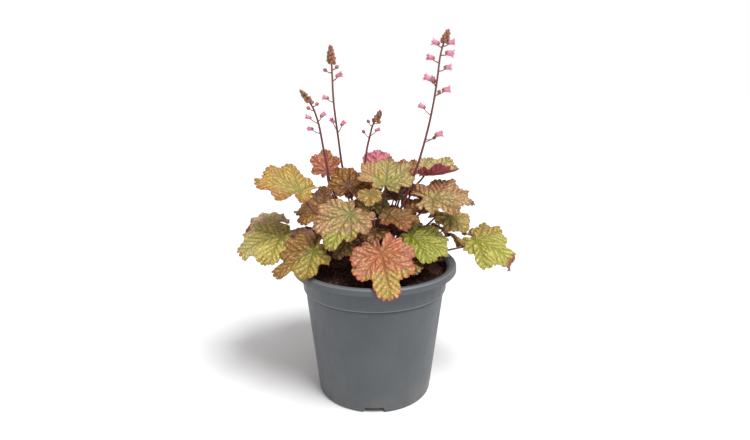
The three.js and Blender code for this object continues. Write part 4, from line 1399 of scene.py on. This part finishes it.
# %% Papery scales of the crown
def add_scale(bm, angle, rng):
    """One papery scale that leans out of the dome in a direction."""
    rise = rng.uniform(0.15, 1.2)
    foot = Vector((math.cos(angle) * math.cos(rise) * CROWN_RADIUS,
                   math.sin(angle) * math.cos(rise) * CROWN_RADIUS,
                   CROWN_SEAT - 0.8 + math.sin(rise) * CROWN_HEIGHT))
    scale_length, scale_width = rng.uniform(6, 12), rng.uniform(2.2, 3.4)
    grid = bmesh.ops.create_grid(bm, x_segments=4, y_segments=6, size=0.5)["verts"]
    for vert in grid:
        u, v = vert.co.x * 2, vert.co.y + 0.5
        width = scale_width * math.sin(math.pi * min(0.18 + 0.8 * v, 1.0)) * 0.9 + 0.2
        vert.co = (u * width * 0.5, 1.1 * v * v + 0.35 * u * u, v * scale_length)
    faces = list({f for v in grid for f in v.link_faces})
    thick = bmesh.ops.solidify(bm, geom=faces, thickness=SCALE_THICKNESS)["geom"]
    verts = set(grid) | {g for g in thick if isinstance(g, bmesh.types.BMVert)}
    outwards = Matrix.Rotation(angle - math.pi / 2, 4, "Z")
    tilted = Matrix.Rotation(-rng.uniform(0.1, 0.7), 4, "X")
    bmesh.ops.transform(bm, matrix=Matrix.Translation(foot) @ outwards @ tilted, verts=list(verts))
    paint_faces(verts, 1)


scale_rng = random.Random(11)
for i in range(CROWN_SCALES):
    add_scale(crown_bm, i * GOLDEN_ANGLE, scale_rng)
crown = add_piece("woody_crown", finished_mesh(in_metres(crown_bm), "woody_crown"),
                  [bark_finish("crown_bark", "2a1712", "5a3226"),
                   bark_finish("crown_scale", "5a3426", "94603f")], "crown", "crown")
print("crown faces:", len(crown.data.polygons))

# %% [markdown]
# ## Peat
#
# Potting peat is almost black, with crumbs and reddish fibres lying on it. The body is a spun
# profile whose top is moved by ripples of three sizes. Its side and floor stay plain, because
# the pot hides them.

# %% Peat
PEAT_FLOOR = 5.65
PEAT_TOP = 126.5
PEAT_RADIUS = 72.9
PEAT_EDGE_HEIGHT = 126.2
PEAT_MOUND = 3.6
UNDER_CROWN = 129.6


def soil_height(x, y, ripples):
    """The height of the peat's surface at a place."""
    out = np.hypot(x, y)
    mound = PEAT_EDGE_HEIGHT + PEAT_MOUND * (1 - smooth(out, 18, 70))
    coarse, middle, fine = ripples
    return (mound + 1.1 * rippled(coarse, x, y) + 0.75 * rippled(middle, x, y)
            + 0.45 * rippled(fine, x, y))


rng = random.Random(21)
soil_ripples = (waves(rng, 8, 16, 30), waves(rng, 12, 6, 11), waves(rng, 16, 2.6, 5))
soil_profile = [(0.0, PEAT_FLOOR), (54.6, PEAT_FLOOR), (57.4, 9.7), (69.5, 112), (71.6, 115),
                (PEAT_RADIUS, PEAT_TOP - 1.5)]
soil_profile += [(radius, PEAT_TOP) for radius in np.linspace(PEAT_RADIUS, 1.2, 56)]
soil_profile.append((0.0, PEAT_TOP))
soil_bm = spun(soil_profile, 168)
for vert in soil_bm.verts:
    if vert.co.z > PEAT_TOP - 0.5:
        vert.co.z = float(soil_height(vert.co.x, vert.co.y, soil_ripples))
        if math.hypot(vert.co.x, vert.co.y) < CROWN_RADIUS:
            vert.co.z = min(vert.co.z, UNDER_CROWN)
print("plain peat faces:", len(soil_bm.faces))

# %% [markdown]
# The crumbs are small angular balls, and a few of them are reddish. The fibres are thin bent
# rods. Both lie anywhere on the peat outside the crown, and no fibre reaches the pot's wall.

# %% Crumbs and fibres
CRUMBS = 620
CRUMB_SIZES = (0.7, 1.0, 1.4, 1.9, 2.6)
CRUMB_RING = (17.5, 71.5)
REDDISH_SHARE = 0.12
FIBRES = 150
FIBRE_LIMIT = 71.0


def soil_spot():
    """A random place on the peat, evenly spread outside the crown."""
    angle = rng.uniform(0, 2 * math.pi)
    out = math.sqrt(rng.uniform(CRUMB_RING[0] ** 2, CRUMB_RING[1] ** 2))
    x, y = out * math.cos(angle), out * math.sin(angle)
    return Vector((x, y, float(soil_height(x, y, soil_ripples))))


for _ in range(CRUMBS):
    size = rng.choice(CRUMB_SIZES)
    crumb = bmesh.ops.create_icosphere(soil_bm, subdivisions=1, radius=size)["verts"]
    for vert in crumb:
        vert.co *= rng.uniform(0.7, 1.25)
        vert.co.z *= 0.75
    bmesh.ops.translate(soil_bm, vec=soil_spot() + Vector((0, 0, size * 0.25)), verts=crumb)
    paint_faces(crumb, 2 if rng.random() < REDDISH_SHARE else 1)
for _ in range(FIBRES):
    spot = soil_spot()
    turn, half = rng.uniform(0, math.pi), rng.uniform(2.5, 7)
    path = []
    for t in (-1, -0.4, 0.3, 1):
        x = spot.x + math.cos(turn + 0.3 * t) * half * t
        y = spot.y + math.sin(turn + 0.3 * t) * half * t
        reach_in = min(1.0, FIBRE_LIMIT / max(math.hypot(x, y), 1))
        x, y = x * reach_in, y * reach_in
        path.append(Vector((x, y, float(soil_height(x, y, soil_ripples)) + rng.uniform(0.2, 0.9))))
    grow_rod(soil_bm, path, [0.15, 0.3, 0.28, 0.12], 5, 2)
print("peat faces:", len(soil_bm.faces))

# %% [markdown]
# Peat looks wet where it is dark and dusty where it has dried, so its colour and its
# roughness follow the same patches.

# %% Peat finish
soil_paints = [bark_finish("peat", "170b06", "40200f"),
               bark_finish("peat_crumb", "24120b", "643b26"),
               bark_finish("peat_fibre", "3c2014", "6e4630")]
soil = add_piece("peat", finished_mesh(in_metres(soil_bm), "peat"), soil_paints, "soil", "soil")
print("soil triangles:", triangle_count(soil))

# %% [markdown]
# ## Pot
#
# A nursery pot is a thin moulding: a tapering wall, a wider band under a turned-over lip, a
# foot ring with drain notches, and a floor raised into a ring-shaped channel. One profile is
# spun round, its corners rounded first. It goes from the middle of the underside out, up the
# outside, over the lip, and down the inside to the floor.

# %% Pot
POT_HEIGHT = 140.0
RIM_RADIUS = 84.0
RIM_INNER_RADIUS = 78.0
LIP_BOTTOM = POT_HEIGHT - 7.0
HOLLOW_TOP = LIP_BOTTOM + 4.2
BAND_BOTTOM = 114.0
BAND_RADIUS = 73.9
BAND_TOP_RADIUS = BAND_RADIUS + 1.6
WALL_TOP_RADIUS = 72.0
BASE_RADIUS = 59.8
WALL = 1.6
FLOOR = 1.9
DISC_RADIUS = 29.0
CHANNEL_RADIUS = 53.0
CHANNEL_HEIGHT = 3.4
CORNER_RADIUS = 0.5
POT_EDGE_DEGREES = 40
UNDERSIDE = [(0, 0), (DISC_RADIUS, 0), (DISC_RADIUS + 1, CHANNEL_HEIGHT),
             (CHANNEL_RADIUS, CHANNEL_HEIGHT), (CHANNEL_RADIUS + 1, 0)]
OUTSIDE = [(BASE_RADIUS - 1.6, 0), (BASE_RADIUS - 0.4, 0.6), (BASE_RADIUS, 2),
           (BASE_RADIUS + 0.1, 7.2), (BASE_RADIUS + 0.7, 7.9),
           (WALL_TOP_RADIUS - 0.4, BAND_BOTTOM - 3.4), (WALL_TOP_RADIUS - 0.7, BAND_BOTTOM - 0.7),
           (BAND_RADIUS, BAND_BOTTOM - 0.2), (BAND_TOP_RADIUS, HOLLOW_TOP - 0.8),
           (BAND_TOP_RADIUS + 0.6, HOLLOW_TOP)]
LIP = [(RIM_RADIUS - 2, HOLLOW_TOP), (RIM_RADIUS - 1.5, LIP_BOTTOM), (RIM_RADIUS, LIP_BOTTOM),
       (RIM_RADIUS - 0.2, POT_HEIGHT - 1.6), (RIM_RADIUS - 1.8, POT_HEIGHT - 0.1),
       (RIM_INNER_RADIUS + 1, POT_HEIGHT), (RIM_INNER_RADIUS - 0.6, POT_HEIGHT - 0.9)]
INSIDE = [(BAND_TOP_RADIUS - WALL + 0.4, HOLLOW_TOP - 0.6), (BAND_RADIUS - WALL, BAND_BOTTOM + 0.5),
          (WALL_TOP_RADIUS - WALL, BAND_BOTTOM - 1.4), (BASE_RADIUS - WALL, 3.2),
          (BASE_RADIUS - WALL - 1.4, FLOOR)]
FLOOR_TOP = [(CHANNEL_RADIUS + 1 + FLOOR, FLOOR), (CHANNEL_RADIUS + 0.5, CHANNEL_HEIGHT + FLOOR),
             (DISC_RADIUS + 0.5, CHANNEL_HEIGHT + FLOOR), (DISC_RADIUS - 1, FLOOR), (0, FLOOR)]
POT_PROFILE = UNDERSIDE + OUTSIDE + LIP + INSIDE + FLOOR_TOP


def rounded(profile, radius):
    """The profile with each corner replaced by a short curve."""
    points = [Vector(p) for p in profile]
    made = [points[0]]
    for before, corner, after in zip(points, points[1:], points[2:]):
        back, on = before - corner, after - corner
        trim = min(radius, 0.4 * back.length, 0.4 * on.length)
        first, last = corner + back.normalized() * trim, corner + on.normalized() * trim
        for t in (0.0, 0.33, 0.67, 1.0):
            made.append(first * (1 - t) ** 2 + corner * 2 * t * (1 - t) + last * t ** 2)
    return [tuple(p) for p in made + [points[-1]]]


pot_bm = in_metres(spun(rounded(POT_PROFILE, CORNER_RADIUS), 144))
pot_mesh = finished_mesh(pot_bm, "pot", POT_EDGE_DEGREES)
pot = bpy.data.objects.new("pot_body", pot_mesh)
scene.collection.objects.link(pot)
print("pot faces before the notches:", len(pot_mesh.polygons))

# %% [markdown]
# The notches are cut by four small wedges, because a cut keeps the wall's edges clean.

# %% Drain notches
NOTCHES = 4
NOTCH_BOTTOM_HALF = 12.0
NOTCH_TOP_HALF = 9.0
NOTCH_BOTTOM = -1.0
NOTCH_TOP = 5.6
NOTCH_INNER = -52.0
NOTCH_OUTER = -64.0

cutter_bm = bmesh.new()
for i in range(NOTCHES):
    wedge = bmesh.ops.create_cube(cutter_bm, size=1.0)["verts"]
    for vert in wedge:
        bottom = vert.co.z < 0
        vert.co.x = math.copysign(NOTCH_BOTTOM_HALF if bottom else NOTCH_TOP_HALF, vert.co.x)
        vert.co.y = NOTCH_INNER if vert.co.y > 0 else NOTCH_OUTER
        vert.co.z = NOTCH_BOTTOM if bottom else NOTCH_TOP
    bmesh.ops.rotate(cutter_bm, verts=wedge, cent=(0, 0, 0),
                     matrix=Matrix.Rotation(2 * math.pi * i / NOTCHES, 3, "Z"))
cutter_mesh = bpy.data.meshes.new("notch_wedges")
in_metres(cutter_bm).to_mesh(cutter_mesh)
cutter_bm.free()
cutter = bpy.data.objects.new("notch_wedges", cutter_mesh)
scene.collection.objects.link(cutter)
cut = pot.modifiers.new("drain_notches", "BOOLEAN")
cut.operation = "DIFFERENCE"
cut.solver = "EXACT"
cut.object = cutter
bpy.context.view_layer.update()
cut_pot = pot.evaluated_get(bpy.context.evaluated_depsgraph_get())
cut_mesh = bpy.data.meshes.new_from_object(cut_pot)
bpy.data.objects.remove(pot)
bpy.data.objects.remove(cutter)
cut_mesh.materials.clear()
cut_mesh.set_sharp_from_angle(angle=math.radians(POT_EDGE_DEGREES))
print("pot faces:", len(cut_mesh.polygons))

# %% [markdown]
# The plastic is matte slate grey. It has a fine moulded grain, pale scuffs that run up and down
# it, pale specks, and dust near the foot. Painted shade makes it dark right under the band and
# under the lip, and a painted highlight makes it pale where the band starts and round the top of
# the lip.

# %% Pot finish
def pot_finish():
    """Matte moulded plastic with dust and scuffs, painted shade under the band and lip, and painted
    highlights on their edges.
    """
    material, tree, shader = new_material("pot_plastic")
    place = object_place(tree)
    height = add_node(tree, "ShaderNodeSeparateXYZ", {0: place}).outputs["Z"]
    patch = mottle(tree, place, 28.0, 900.0)
    colour = blend(tree, patch, tone("4c5054"), tone("52565a"))
    streak_map = add_node(tree, "ShaderNodeMapping", {"Vector": place, "Scale": (1.0, 1.0, 0.18)})
    streak = noise(tree, streak_map.outputs["Vector"], 120.0, 5.0, 0.65)
    scuff = ease(tree, streak, 0.62, 0.78, 0.0, 0.3)
    colour = blend(tree, scuff, colour, tone("85888a"))
    speck = ease(tree, noise(tree, place, 1500.0, 1.0), 0.72, 0.8, 0.0, 0.25)
    colour = blend(tree, speck, colour, tone("8f8f8a"))
    low = ease(tree, height, 0.0, 0.03, 0.35, 0.0)
    dust = calc(tree, "MULTIPLY", low, patch)
    colour = blend(tree, dust, colour, tone("7d7468"))
    # Painted shade: a dark ramp just under the band's step and under the lip, where shade falls.
    for top, depth in ((BAND_BOTTOM - 0.4, 2.8), (LIP_BOTTOM + 0.2, 3.7)):
        seam = ease(tree, height, (top - depth) * MM, top * MM, 0.0, 0.8)
        under = ease(tree, height, top * MM, (top + 0.4) * MM, 1.0, 0.0)
        colour = blend(tree, calc(tree, "MULTIPLY", seam, under), colour, tone("1c1f22"))
    # Painted highlight: a pale line along the band's lower edge and round the top of the lip, where
    # light catches the rounding.
    for edge in (BAND_BOTTOM + 0.4, POT_HEIGHT - 0.7):
        near = calc(tree, "ABSOLUTE", calc(tree, "SUBTRACT", height, edge * MM))
        worn = ease(tree, near, 0.0002, 0.0011, 0.5, 0.0)
        colour = blend(tree, worn, colour, tone("7e8386"))
    tree.links.new(colour, shader.inputs["Base Color"])
    tree.links.new(ease(tree, streak, 0.3, 0.75, 0.42, 0.6), shader.inputs["Roughness"])
    grain = noise(tree, place, 2200.0, 2.0)
    set_bump(tree, shader, calc(tree, "MULTIPLY_ADD", streak, 0.6, grain), 0.06 * MM, 0.6)
    return material


pot = add_piece("pot_body", cut_mesh, [pot_finish()], "pot", "pot")
print("pot triangles:", triangle_count(pot))

# %% [markdown]
# ## Sizes
#
# The finished plant's box is measured, as the construction model's was at the start. Its ruffled
# rims may pass the construction model's box by a millimetre or two. The pieces and their
# triangles are counted.

# %% Sizes
visual_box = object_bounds()
triangles = {piece.name: triangle_count(piece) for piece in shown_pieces()}
print("pieces:", len(triangles), "triangles:", sum(triangles.values()),
      "most:", max(triangles.items(), key=lambda pair: pair[1]))
